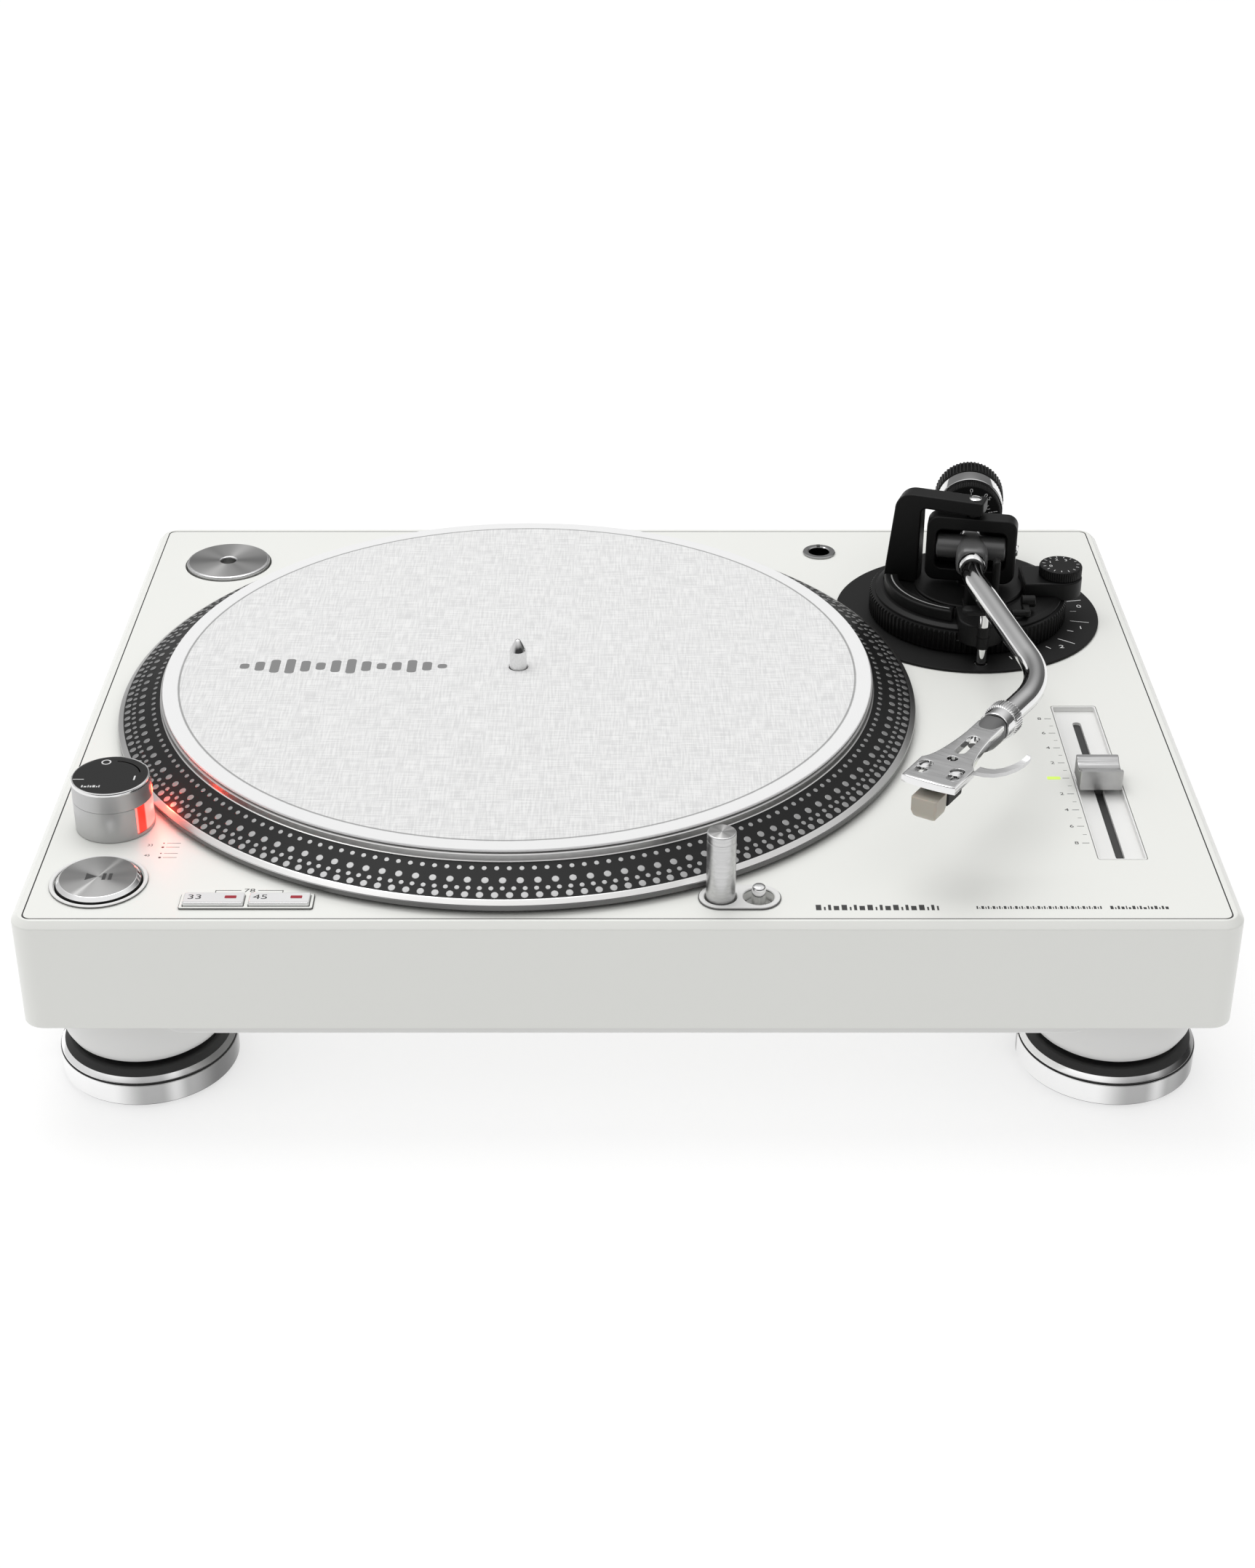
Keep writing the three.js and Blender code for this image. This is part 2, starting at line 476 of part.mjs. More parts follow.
// ---- gimbal and arm ------------------------------------------------------------------------------
const swingFrame = frameAt(turntable, ...PIVOT, above(PIVOT_H), ARM_TURN);
piece('gimbal_ring', join(
  cut(uprightPlate(plate(-19.8, 19.8, -15.2, 15.2, 5), -4.5, 4.5),
    uprightPlate(plate(-15.5, 15.5, -9.4, 9.4, 3), -9, 9, 2)),
  post(0, 0, 15, 16.5, 3, 12), post(0, 0, -16.5, -15, 3, 12)), BLACK, swingFrame);

const armFrame = new THREE.Group();
armFrame.rotation.x = radians(-ARM_RAISE);
swingFrame.add(armFrame);

// Turned about the arm's own length: the outline is [radius, forward] pairs, forward from the pivot.
function alongArm(outline, segments = 20) {
  const points = [...outline, outline[0]].map(([r, forward]) => new THREE.Vector2(r, -forward));
  return solid(new THREE.LatheGeometry(points, segments));
}
const beamFrame = frameAt(armFrame, 0, 0, 0, BEAM_TURN);
const bearing = new THREE.CylinderGeometry(5.4, 5.4, 30.4, 16).rotateZ(Math.PI / 2 - radians(BEAM_TURN));
piece('arm_pivot_block', join(
  solid(bearing),
  alongArm([[0, -70], [4.2, -70], [4.2, -8], [5.6, -5], [5.8, 4], [7.2, 12], [7.2, 17], [6.2, 19.6], [0, 19.6]])),
GREY, beamFrame);

// The counterweight turns on a threaded bush that slides along the rear shaft; its dial turns on it.
const onShaft = (from, to, inner, outer, segments) =>
  alongArm([[inner, -from], [outer, -from], [outer, -to], [inner, -to]], segments);
piece('weight_bush', onShaft(40, 66, 4.5, 7, 20), BRUSHED, beamFrame);
piece('counterweight', alongArm([[7.3, -44], [15.2, -44], [15.2, -66.4], [7.3, -66.4]], 28),
  CHROME, beamFrame);
piece('pressure_dial', alongArm([[7.3, -38.6], [14.2, -38.6], [14.2, -43.7], [7.3, -43.7]], 28),
  BLACK, beamFrame);

// S-shaped tube: straight out of the block, a bend to the right, and a bend back by the offset.
const HEAD = new THREE.Vector2(8, -174.3);         // middle of the headshell's lock nut
const headTurn = radians(-OFFSET);
const headward = new THREE.Vector2(Math.sin(headTurn), -Math.cos(headTurn));
const ELBOW = 134.9;                                  // forward distance of the second bend
const elbow = HEAD.clone().addScaledVector(headward, -(-HEAD.y - ELBOW) / -headward.y);
class ArmPath extends THREE.CurvePath {}
function rounded(path, from, corner, to, reach) {
  const before = corner.clone().sub(from).setLength(reach);
  const after = to.clone().sub(corner).setLength(reach);
  const [enter, leave] = [corner.clone().sub(before), corner.clone().add(after)];
  const start = path.curves.length ? path.curves.at(-1).getPoint(1) : from;
  path.add(new THREE.LineCurve3(start, enter));
  path.add(new THREE.QuadraticBezierCurve3(enter, corner, leave));
}
function armTube() {
  const level = (x, forward) => new THREE.Vector3(x, -forward, 0);
  const path = new ArmPath();
  const nut = level(HEAD.x, -HEAD.y);
  const [start, first, second] = [level(0, 23), level(0, 35), level(elbow.x, ELBOW)];
  rounded(path, start, first, second, 8);
  rounded(path, first, second, nut, 20);
  path.add(new THREE.LineCurve3(path.curves.at(-1).getPoint(1), nut));
  const section = new THREE.Shape().absarc(0, 0, TUBE_R, 0, Math.PI * 2, false);
  const geometry = new THREE.ExtrudeGeometry(section, { extrudePath: path, steps: 22, curveSegments: 6 });
  const collar = alongArm([[0, 19.9], [5.6, 19.9], [6, 21], [5.4, 24.5], [0, 26]], 16);
  return join(solid(geometry), collar);
}
piece('arm_tube', armTube(), CHROME, beamFrame);

// Headshell frame: origin in the lock nut, forward along -Y.
const headFrame = frameAt(beamFrame, HEAD.x, HEAD.y, 0, -OFFSET);
const NOSE = 65;
piece('lock_nut', alongArm([[5.1, -6], [6.4, -6], [7, -5.4], [7, -0.6], [6.4, 0], [6.2, 5.6], [5.1, 5.6]], 24),
  CHROME, headFrame);
function headshell() {
  const [half, neck] = [10.7, 4.6];
  const shape = new THREE.Shape();
  shape.moveTo(-half, -NOSE + 0.8);
  shape.quadraticCurveTo(0, -NOSE - 1, half, -NOSE + 0.8);
  shape.lineTo(half, -47.5);
  shape.lineTo(8.8, -44.5);
  shape.quadraticCurveTo(6, -36, neck + 0.6, -20);
  shape.lineTo(neck + 0.6, -8.5);
  shape.lineTo(-neck - 0.6, -8.5);
  shape.lineTo(-neck - 0.6, -20);
  shape.quadraticCurveTo(-6, -36, -8.8, -44.5);
  shape.lineTo(-half, -47.5);
  const deck = raised(shape, 0.6, 3.6, 4);
  const neckBlock = alongArm([[0, 6], [5.8, 6], [5.8, 15], [4.2, 24], [0, 24]], 16);
  const slot = (x, from, to, wide) => slab(x - wide / 2, x + wide / 2, -to, -from, -9, 9, wide / 2 - 0.05, 3);
  return cut(join(deck, neckBlock, rod('y', -6.2, -2, 4.4, 0, 0, 12)),
    slot(0, 22.5, 38.5, 4.2), slot(-6.35, 49.5, 59.5, 4.2), slot(6.35, 49.5, 59.5, 4.2),
    post(0, -43.5, -9, 9, 1.9, 12));
}
piece('headshell', headshell(), SILVER, headFrame);

function fingerLift() {
  const shape = new THREE.Shape();
  shape.moveTo(11, -46.5);
  shape.quadraticCurveTo(19, -44, 25, -32);
  shape.lineTo(22.8, -31);
  shape.quadraticCurveTo(17.5, -40, 11, -41.6);
  return raised(shape, 0.8, 2.4, 6);
}
piece('finger_lift', fingerLift(), SILVER, headFrame);

piece('cartridge', join(
  block(-7.6, 7.6, -61, -46, -1, 0.3),
  block(-5.2, 5.2, -57, -44, -9.4, -0.9)), BLACK, headFrame);
const STYLUS_FROM = 57.3;
piece('stylus', join(
  block(-5.1, 5.1, -67.4, -STYLUS_FROM, -11.6, -2.8),
  post(0, -62, -12.9, -11.5, 0.4, 8, 0.8)), IVORY, headFrame);

export default turntable;
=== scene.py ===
"""Looks of a white direct-drive club turntable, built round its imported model.

Every size is in millimetres until a mesh is made. Heights named "up" are above the deck. Places
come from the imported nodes' boxes and from the joints' axes.
"""

import json
import math
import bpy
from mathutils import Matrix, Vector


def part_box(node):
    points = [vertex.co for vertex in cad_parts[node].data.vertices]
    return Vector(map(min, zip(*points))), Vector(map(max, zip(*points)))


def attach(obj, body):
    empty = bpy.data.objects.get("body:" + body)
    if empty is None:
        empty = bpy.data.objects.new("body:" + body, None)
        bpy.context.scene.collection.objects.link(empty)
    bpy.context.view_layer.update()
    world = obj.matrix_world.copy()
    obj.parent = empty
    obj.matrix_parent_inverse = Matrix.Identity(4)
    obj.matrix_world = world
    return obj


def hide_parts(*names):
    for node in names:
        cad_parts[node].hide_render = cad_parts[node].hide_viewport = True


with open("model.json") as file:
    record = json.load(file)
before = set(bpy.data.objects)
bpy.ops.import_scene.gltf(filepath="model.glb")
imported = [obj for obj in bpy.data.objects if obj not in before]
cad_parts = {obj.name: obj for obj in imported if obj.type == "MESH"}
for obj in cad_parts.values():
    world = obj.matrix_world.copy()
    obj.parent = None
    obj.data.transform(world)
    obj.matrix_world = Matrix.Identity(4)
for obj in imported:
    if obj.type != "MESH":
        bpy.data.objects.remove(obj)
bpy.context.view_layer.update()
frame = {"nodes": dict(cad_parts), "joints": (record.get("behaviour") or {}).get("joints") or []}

import bmesh
import bpy
from bpy.props import FloatProperty, FloatVectorProperty, IntProperty, PointerProperty
from mathutils import Matrix, Vector
from mathutils.geometry import tessellate_polygon

bl_info = {
    "name": "Club Turntable Looks",
    "version": (1, 0, 0),
    "blender": (4, 5, 0),
    "location": "3D Viewport > Sidebar > Turntable",
    "description": "Builds the visible pieces and finishes of a direct-drive turntable",
    "category": "Object",
}

MM = 0.001
TURN = 2 * math.pi
JACK_REACH = 8.6            # how far the phono jacks stand out of their plate
LENS, SENSOR = 56.98, 36    # the camera's focal length and sensor width
CAMERA_BACK = 0.92704       # metres from the middle of the deck to the camera, level
CAMERA_UP = 0.492           # metres from the deck up to the camera
CAMERA_PITCH = 60.04        # degrees up from looking straight down


# ---- places -------------------------------------------------------------------------------------
def low_high(node):
    """Lowest and highest corner of a node, in millimetres."""
    low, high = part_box(node)
    return low / MM, high / MM


def middle(node):
    low, high = low_high(node)
    return (low + high) / 2


DECK = low_high("plinth_shell")[1].z


def on_deck(node, up=0.0):
    """Upright frame over the middle of a node, its origin that far above the deck."""
    spot = middle(node)
    return Matrix.Translation((spot.x, spot.y, DECK + up))


def joint(name):
    return next(j for j in frame["joints"] if j["name"] == name)


def axes(origin, x, y, z):
    """Frame from three axes at a point."""
    turned = Matrix((x, y, z)).transposed().to_4x4()
    return Matrix.Translation(origin) @ turned


PIVOT = Vector(joint("arm_swing")["pos_m"]) / MM
ACROSS = -Vector(joint("arm_tilt")["axis"]).normalized()
SWING_FRAME = axes(PIVOT, ACROSS, Vector((0, 0, 1)).cross(ACROSS), Vector((0, 0, 1)))
REARWARD = Vector(joint("weight_travel")["axis"]).normalized()
ARM_UP = ACROSS.cross(REARWARD).normalized()
BEAM_FRAME = axes(PIVOT, REARWARD.cross(ARM_UP), REARWARD, ARM_UP)
NUT = Vector(joint("lock_nut_turn")["pos_m"]) / MM
HEAD_BACK = -Vector(joint("lock_nut_turn")["axis"]).normalized()
HEAD_FRAME = axes(NUT, HEAD_BACK.cross(ARM_UP), HEAD_BACK, ARM_UP)
ALONG_BEAM = BEAM_FRAME @ Matrix.Rotation(-math.pi / 2, 4, "X")     # local +Z runs to the rear
ALONG_HEAD = HEAD_FRAME @ Matrix.Rotation(-math.pi / 2, 4, "X")
BASE_FRAME = Matrix.Translation((PIVOT.x, PIVOT.y, DECK))


# ---- outlines -----------------------------------------------------------------------------------
def circle(x, y, radius, steps=96):
    return [(x + radius * math.cos(TURN * i / steps), y + radius * math.sin(TURN * i / steps))
            for i in range(steps)]


def arc(x, y, radius, start, end, steps):
    """Points on an arc, between two angles in degrees."""
    angles = [math.radians(start + (end - start) * i / steps) for i in range(steps + 1)]
    return [(x + radius * math.cos(a), y + radius * math.sin(a)) for a in angles]


def rounded_box(x0, x1, y0, y1, radius, steps=8):
    corners = [(x1 - radius, y0 + radius, -90), (x1 - radius, y1 - radius, 0),
               (x0 + radius, y1 - radius, 90), (x0 + radius, y0 + radius, 180)]
    return [p for x, y, start in corners for p in arc(x, y, radius, start, start + 90, steps)]


def grown(outline, by):
    """Anticlockwise outline moved outwards by a distance, or inwards by a negative one."""
    count, moved = len(outline), []
    for i, (x, y) in enumerate(outline):
        before, after = outline[i - 1], outline[(i + 1) % count]
        a = Vector((y - before[1], before[0] - x)).normalized()
        b = Vector((after[1] - y, x - after[0])).normalized()
        push = (a + b) * (by / max(0.25, 1 + a.dot(b)))
        moved.append((x + push.x, y + push.y))
    return moved


def bend(a, control, b, steps=8):
    """Points of a quadratic curve after its start."""
    points = []
    for i in range(1, steps + 1):
        t = i / steps
        points.append(tuple((1 - t) ** 2 * a[k] + 2 * t * (1 - t) * control[k] + t * t * b[k]
                            for k in range(len(a))))
    return points


# ---- meshes -------------------------------------------------------------------------------------
class Form:
    """A mesh in the making: points in millimetres, faces, and the finish number of each face."""

    def __init__(self):
        self.points, self.faces, self.finishes = [], [], []

    def ring(self, points):
        start = len(self.points)
        self.points += [tuple(p) for p in points]
        return list(range(start, len(self.points)))

    def face(self, indices, finish):
        corners = tuple(dict.fromkeys(indices))
        if len(corners) > 2:
            self.faces.append(corners)
            self.finishes.append(finish)

    def band(self, a, b, finish, closed=True):
        """Quads between two rings of points; a ring of one point is a pole."""
        count = max(len(a), len(b))
        for i in range(count if closed else count - 1):
            j = (i + 1) % count
            self.face((a[i % len(a)], a[j % len(a)], b[j % len(b)], b[i % len(b)]), finish)

    def loft(self, rings, finish=0, caps=True, looped=False):
        """Skin over rings of 3D points; the rings may also close on themselves."""
        made = [self.ring(r) for r in rings]
        for a, b in zip(made, made[1:]):
            self.band(a, b, finish)
        if looped:
            self.band(made[-1], made[0], finish)
        elif caps:
            for ring in (made[0], made[-1]):
                if len(ring) > 2:
                    self.face(ring, finish)
        return self

    def lathe(self, profile, steps=96, looped=True, ribs=None):
        """Turned about Z. A profile point is (radius, height) or (radius, height, finish of the
        stretch after it). ribs is (count, depth, first point, last point): grooves along a stretch."""
        made, looks, finish = [], [], 0
        count, depth, first, last = ribs or (0, 0, 1, 0)
        per_rib = 6
        steps = count * per_rib if ribs else steps
        for k, spot in enumerate(profile):
            finish = spot[2] if len(spot) > 2 else finish
            looks.append(finish)
            radius, z = spot[:2]
            if radius < 1e-6:
                made.append(self.ring([(0, 0, z)]))
                continue
            ring = []
            for i in range(steps):
                cut = depth * (1, 0.75, 0, 0, 0, 0.75)[i % per_rib] if first <= k <= last else 0
                a = TURN * i / steps
                ring.append(((radius - cut) * math.cos(a), (radius - cut) * math.sin(a), z))
            made.append(self.ring(ring))
        for k in range(len(made) - 1):
            self.band(made[k], made[k + 1], looks[k])
        if looped and not (len(made[0]) == 1 and len(made[-1]) == 1):
            self.band(made[-1], made[0], looks[-1])
        return self

    def fill(self, rings, finish):
        flat = [i for ring in rings for i in ring]
        loops = [[Vector(self.points[i]).to_3d() for i in ring] for ring in rings]
        for triangle in tessellate_polygon(loops):
            self.face([flat[i] for i in triangle], finish)

    def plate(self, outline, low, high, holes=(), edge=0.3, foot=0.0, hole_edge=0.15, finish=0,
              edge_finish=None, rim=3):
        """Flat piece with rounded top edges; outline and holes are anticlockwise."""
        side = finish if edge_finish is None else edge_finish

        def wall(loop, sign, top_round, foot_round):
            arcs = [math.pi / 2 * i / rim for i in range(rim + 1)]
            heights = []
            if foot_round:
                heights += [(-foot_round * (1 - math.sin(a)), low + foot_round * (1 - math.cos(a)))
                            for a in arcs]
            else:
                heights.append((0, low))
            if top_round:
                heights += [(-top_round * (1 - math.cos(a)), high - top_round * (1 - math.sin(a)))
                            for a in arcs]
            else:
                heights.append((0, high))
            rings = [self.ring([(x, y, z) for x, y in grown(loop, sign * inset)])
                     for inset, z in heights]
            for a, b in zip(rings, rings[1:]):
                self.band(a, b, side)
            return rings[0], rings[-1]

        walls = [wall(outline, 1, edge, foot)] + [wall(h, -1, hole_edge, 0) for h in holes]
        self.fill([w[0] for w in walls], finish)
        self.fill([w[1] for w in walls], finish)
        return self

    def sweep(self, path, radius, sides=32, finish=0, caps=True):
        """Round rod along a path; radius is a number or one per point."""
        points = [Vector(p) for p in path]
        radii = radius if isinstance(radius, list) else [radius] * len(points)
        normal, rings = None, []
        for i, p in enumerate(points):
            ahead = (points[min(i + 1, len(points) - 1)] - points[max(i - 1, 0)]).normalized()
            if normal is None:
                normal = ahead.orthogonal().normalized()
            normal = (normal - ahead * normal.dot(ahead)).normalized()
            other = ahead.cross(normal)
            rings.append([p + (normal * math.cos(TURN * k / sides)
                               + other * math.sin(TURN * k / sides))
                          * radii[i] for k in range(sides)])
        return self.loft(rings, finish, caps)

    def dome(self, at, radius, height, base=0.0, sides=14, finish=0):
        """Low round dot whose axis is the frame's Z."""
        rings = []
        for reach, z in ((1, -base), (1, 0.35 * height), (0.9, 0.85 * height)):
            rings.append([at @ Vector((radius * reach * math.cos(TURN * k / sides),
                                       radius * reach * math.sin(TURN * k / sides), z))
                          for k in range(sides)])
        rings.append([at @ Vector((0, 0, height))])
        return self.loft(rings, finish)

    def text(self, words, size, at, finish=0, thick=0.03, wide=1.15, align="CENTER"):
        """Plain numerals standing a little proud of a surface; size is the height of a capital."""
        curve = bpy.data.curves.new("numerals", "FONT")
        curve.body, curve.align_x, curve.align_y = words, align, "CENTER"
        curve.size, curve.extrude, curve.resolution_u = size / 0.72, thick / 2, 3
        holder = bpy.data.objects.new("numerals", curve)
        bpy.context.scene.collection.objects.link(holder)
        bpy.context.view_layer.update()
        graph = bpy.context.evaluated_depsgraph_get()
        mesh = bpy.data.meshes.new_from_object(holder.evaluated_get(graph))
        place = at @ Matrix.Translation((0, 0, thick / 2)) @ Matrix.Diagonal((wide, 1, 1, 1))
        start = len(self.points)
        self.points += [tuple(place @ v.co) for v in mesh.vertices]
        for p in mesh.polygons:
            self.face([start + i for i in p.vertices], finish)
        bpy.data.objects.remove(holder)
        bpy.data.curves.remove(curve)
        bpy.data.meshes.remove(mesh)
        return self

    def add(self, other, at=Matrix.Identity(4), finish=None):
        """Another form, moved into this one."""
        start = len(self.points)
        self.points += [tuple(at @ Vector(p)) for p in other.points]
        self.faces += [tuple(start + i for i in f) for f in other.faces]
        self.finishes += other.finishes if finish is None else [finish] * len(other.faces)
        return self


def flat_bar(form, x0, x1, y0, y1, low, high, finish=0):
    return form.plate([(x0, y0), (x1, y0), (x1, y1), (x0, y1)], low, high, edge=0, finish=finish)


def make(name, form, at, body, finishes, stands_for=(), sharp=32):
    """Turns a form into a piece: placed by its frame, riding on a body, and standing for nodes."""
    mesh = bpy.data.meshes.new(name)
    mesh.from_pydata([Vector(p) * MM for p in form.points], [], form.faces)
    mesh.update()
    for material in finishes:
        mesh.materials.append(material)
    mesh.polygons.foreach_set("material_index", form.finishes)
    work = bmesh.new()
    work.from_mesh(mesh)
    bmesh.ops.remove_doubles(work, verts=work.verts, dist=1e-7)
    bmesh.ops.recalc_face_normals(work, faces=work.faces)
    work.to_mesh(mesh)
    work.free()
    mesh.shade_smooth()
    mesh.set_sharp_from_angle(angle=math.radians(sharp))
    piece = bpy.data.objects.new(name, mesh)
    bpy.context.scene.collection.objects.link(piece)
    place = at.copy()
    place.translation = at.translation * MM
    piece.matrix_world = place
    even = piece.modifiers.new("even shading", "WEIGHTED_NORMAL")
    even.keep_sharp = True
    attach(piece, body)
    if stands_for:
        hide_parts(*stands_for)
    return piece


# ---- finishes -----------------------------------------------------------------------------------
class Value:
    """The output of a shader node; arithmetic on it adds the node that does it."""

    def __init__(self, look, socket):
        self.look, self.socket = look, socket

    def math(self, operation, *others):
        inputs = dict(enumerate((self, *others)))
        return self.look.add("Math", {"operation": operation}, inputs)

    def __add__(self, other): return self.math("ADD", other)
    def __radd__(self, other): return self.math("ADD", other)
    def __mul__(self, other): return self.math("MULTIPLY", other)
    def __rmul__(self, other): return self.math("MULTIPLY", other)
    def __sub__(self, other): return self.math("SUBTRACT", other)
    def __rsub__(self, other): return (self * -1).math("ADD", other)
    def __truediv__(self, other): return self.math("DIVIDE", other)
    def __pow__(self, other): return self.math("POWER", other)

    def between(self, low, high):
        """0 below low, 1 above high, smooth between."""
        return self.look.add("MapRange", {"interpolation_type": "SMOOTHSTEP"},
                             {"Value": self, "From Min": low, "From Max": high})

    def mix(self, first, second):
        """Colour that goes from first to second as this goes from 0 to 1."""
        return self.look.add("Mix", {"data_type": "RGBA"}, {0: self, 6: first, 7: second}, 2)


class Look:
    """A procedural material in the making."""

    def __init__(self, name):
        self.material = bpy.data.materials.new(name)
        self.material.use_nodes = True
        self.nodes = self.material.node_tree.nodes
        self.links = self.material.node_tree.links
        self.nodes.clear()

    def add(self, kind, settings=None, inputs=None, out=0):
        node = self.nodes.new("ShaderNode" + kind)
        for key, setting in (settings or {}).items():
            setattr(node, key, setting)
        for key, value in (inputs or {}).items():
            if isinstance(value, Value):
                self.links.new(value.socket, node.inputs[key])
            else:
                node.inputs[key].default_value = value
        return Value(self, node.outputs[out]) if len(node.outputs) else None

    def place(self, scale=(1, 1, 1)):
        """The piece's own coordinates, in metres, stretched."""
        where = self.add("TexCoord", out="Object")
        return self.add("VectorMath", {"operation": "MULTIPLY"}, {0: where, 1: scale})

    def noise(self, scale, detail=2.0, stretch=(1, 1, 1)):
        return self.add("TexNoise", {}, {"Vector": self.place(stretch), "Scale": scale,
                                         "Detail": detail})

    def polar(self):
        """Distance from the piece's Z axis, in millimetres, and angle round it."""
        where = self.add("SeparateXYZ", {}, {0: self.place((1000, 1000, 1000))})
        x, y = where, Value(self, where.socket.node.outputs[1])
        return (x * x + y * y) ** 0.5, y.math("ARCTAN2", x)

    def finish(self, inputs, bump=None, depth=0.0):
        """Principled surface, with a height map in millimetres if there is one."""
        if bump is not None:
            inputs["Normal"] = self.add("Bump", {}, {"Height": bump, "Distance": depth * MM,
                                                     "Strength": 1.0})
        shader = self.add("BsdfPrincipled", {}, inputs)
        self.add("OutputMaterial", {}, {"Surface": shader})
        return self.material


def rgb(value, tint=(1, 1, 1)):
    return (value * tint[0], value * tint[1], value * tint[2], 1.0)


LOOKS = {}


def look(name):
    """A finish by name, made the first time it is asked for."""
    if name not in LOOKS:
        LOOKS[name] = FINISHES[name](Look(name))
    return LOOKS[name]


def plain(base, roughness, tint=(1, 1, 1), metal=0.0, coat=0.0, grain=0.0, scale=900, spread=0.06,
          extra=None):
    """Finish of one colour whose roughness and shade drift a little, with an optional grain."""
    def build(shade):
        drift = shade.noise(14)
        inputs = {"Base Color": drift.mix(rgb(base * (1 - spread / 2), tint),
                                          rgb(base * (1 + spread / 2), tint)),
                  "Metallic": metal, "Roughness": roughness + (drift - 0.5) * 0.08,
                  "Coat Weight": coat}
        inputs.update(extra or {})
        return shade.finish(inputs, shade.noise(scale, 3) if grain else None, grain)
    return build


def brushed(base, roughness, stretch, contrast=0.25):
    """Straight brushing; stretch is large across the lines and small along them."""
    def build(shade):
        lines = shade.noise(1.0, 4, stretch)
        colour = lines.between(0.25, 0.75).mix(rgb(base * (1 - contrast)),
                                               rgb(base * (1 + contrast * 0.6)))
        return shade.finish({"Base Color": colour, "Metallic": 1.0,
                             "Roughness": roughness + (lines - 0.5) * 0.2}, lines, 0.01)
    return build


def spun(base, roughness, painted_highlight_bands, painted_shade_bands, contrast=0.5):
    """Turned metal: fine rings, with painted highlights and painted shade in the base colour. The first
    list gives bands of painted highlight and the second bands of painted shade: each is (angle in
    degrees, sharpness, strength), and shows on both sides of the middle."""
    def build(shade):
        radius, angle = shade.polar()
        # Painted light: a level of 1, raised along the highlight bands and lowered along the shade
        # bands, by the angle round the piece.
        painted_light_level = radius * 0 + 1
        for turn, sharpness, strength in painted_highlight_bands:
            painted_light_level = painted_light_level + (((angle - math.radians(turn)).math("COSINE") ** 2) ** sharpness) * strength
        for turn, sharpness, strength in painted_shade_bands:
            painted_light_level = painted_light_level - (((angle - math.radians(turn)).math("COSINE") ** 2) ** sharpness) * strength
        rings = shade.add("TexNoise", {"noise_dimensions": "1D"}, {"W": radius * 9, "Scale": 1.0,
                                                                   "Detail": 2.0})
        level = painted_light_level * base * (1 + (rings - 0.5) * (contrast * 0.3))
        colour = level.mix(rgb(0.0), rgb(1.0, (1.0, 0.995, 0.985)))
        return shade.finish({"Base Color": colour, "Metallic": 1.0, "Roughness": roughness}, rings,
                            0.004)
    return build


def linen(shade):
    """Slipmat felt: crossed threads, a brighter bare outer band and a thin dark ring."""
    sizes = bpy.context.scene.turntable_sizes
    radius, _ = shade.polar()
    warp = shade.noise(1.0, 3, (90, 1400, 1))
    weft = shade.noise(1.0, 3, (1400, 90, 1))
    threads = (warp + weft) * 0.5
    cloth = threads.between(0.36, 0.64).mix(rgb(0.68), rgb(0.86, (1, 1, 0.995)))
    ring = (1 - (radius - sizes.mat_ring).math("ABSOLUTE").between(0.25, 0.55))
    bare = radius.between(sizes.mat_ring + 0.4, sizes.mat_ring + 0.9)
    outer = bare.mix(cloth, rgb(0.84))
    fuzz = shade.noise(2600, 2)
    return shade.finish({"Base Color": (ring * 0.75).mix(outer, rgb(0.22)), "Roughness": 0.95,
                         "Sheen Weight": 0.2}, threads * 0.7 + fuzz * 0.3, 0.12)


def paint(shade):
    """White lacquer with the faintest orange peel."""
    finish = bpy.context.scene.turntable_finish
    drift = shade.noise(6)
    colour = tuple(finish.paint_colour)
    darker = tuple(c * 0.985 for c in colour)
    return shade.finish({"Base Color": drift.mix((*darker, 1), (*colour, 1)),
                         "Roughness": finish.paint_roughness + (drift - 0.5) * 0.04,
                         "Coat Weight": 0.15, "Coat Roughness": 0.15}, shade.noise(420, 2), 0.004)


def painted_reflection_chrome(shade):
    """Chrome ring with a painted reflection: white on the left, stepping to dark on the right, with a
    painted glint between.
    """
    _, angle = shade.polar()
    # Painted reflection, set by the angle round the ring: a narrow painted glint towards the front
    # right, and two steps of painted shade from the front round to the right and back.
    painted_glint = 1 - (angle + 1.12).math("ABSOLUTE").between(0.0, 0.16)
    side, front = angle.between(-1.85, -1.45), angle.between(-0.95, -0.55)
    level = 0.97 - side * 0.52 + painted_glint * 0.3 - front * 0.24
    return shade.finish({"Base Color": level.mix(rgb(0.0), rgb(1.0)), "Metallic": 1.0,
                         "Roughness": 0.14})


def glow(colour, strength):
    def build(shade):
        drift = shade.noise(60)
        lit = drift.mix(rgb(1.0, colour), rgb(0.86, colour))
        return shade.finish({"Base Color": lit, "Roughness": 0.3, "Emission Color": lit,
                             "Emission Strength": strength})
    return build


def strobe_red(shade):
    """Lit window: a red core between paler edges."""
    _, angle = shade.polar()
    finish = bpy.context.scene.turntable_finish
    side = (angle - math.radians(-35)).math("ABSOLUTE")
    core = 1 - side.between(0.10, 0.17)
    lit = core.mix((0.95, 0.30, 0.26, 1), (0.80, 0.035, 0.02, 1))
    return shade.finish({"Base Color": lit, "Roughness": 0.3, "Emission Color": lit,
                         "Emission Strength": finish.strobe_strength})


def dial_side_painted_shading(shade):
    """Satin metal with painted shading: lighter on one side of the barrel and darker on the other, by
    the angle round it.
    """
    _, angle = shade.polar()
    painted_side_shading = (angle + 2.2).math("COSINE") * 0.5 + 0.5
    fine = shade.noise(1.0, 3, (60, 60, 3000))
    colour = painted_side_shading.mix(rgb(0.40), rgb(0.56))
    return shade.finish({"Base Color": colour, "Metallic": 0.75,
                         "Roughness": 0.42 + (fine - 0.5) * 0.1})


DULL = {"Specular IOR Level": 0.18}

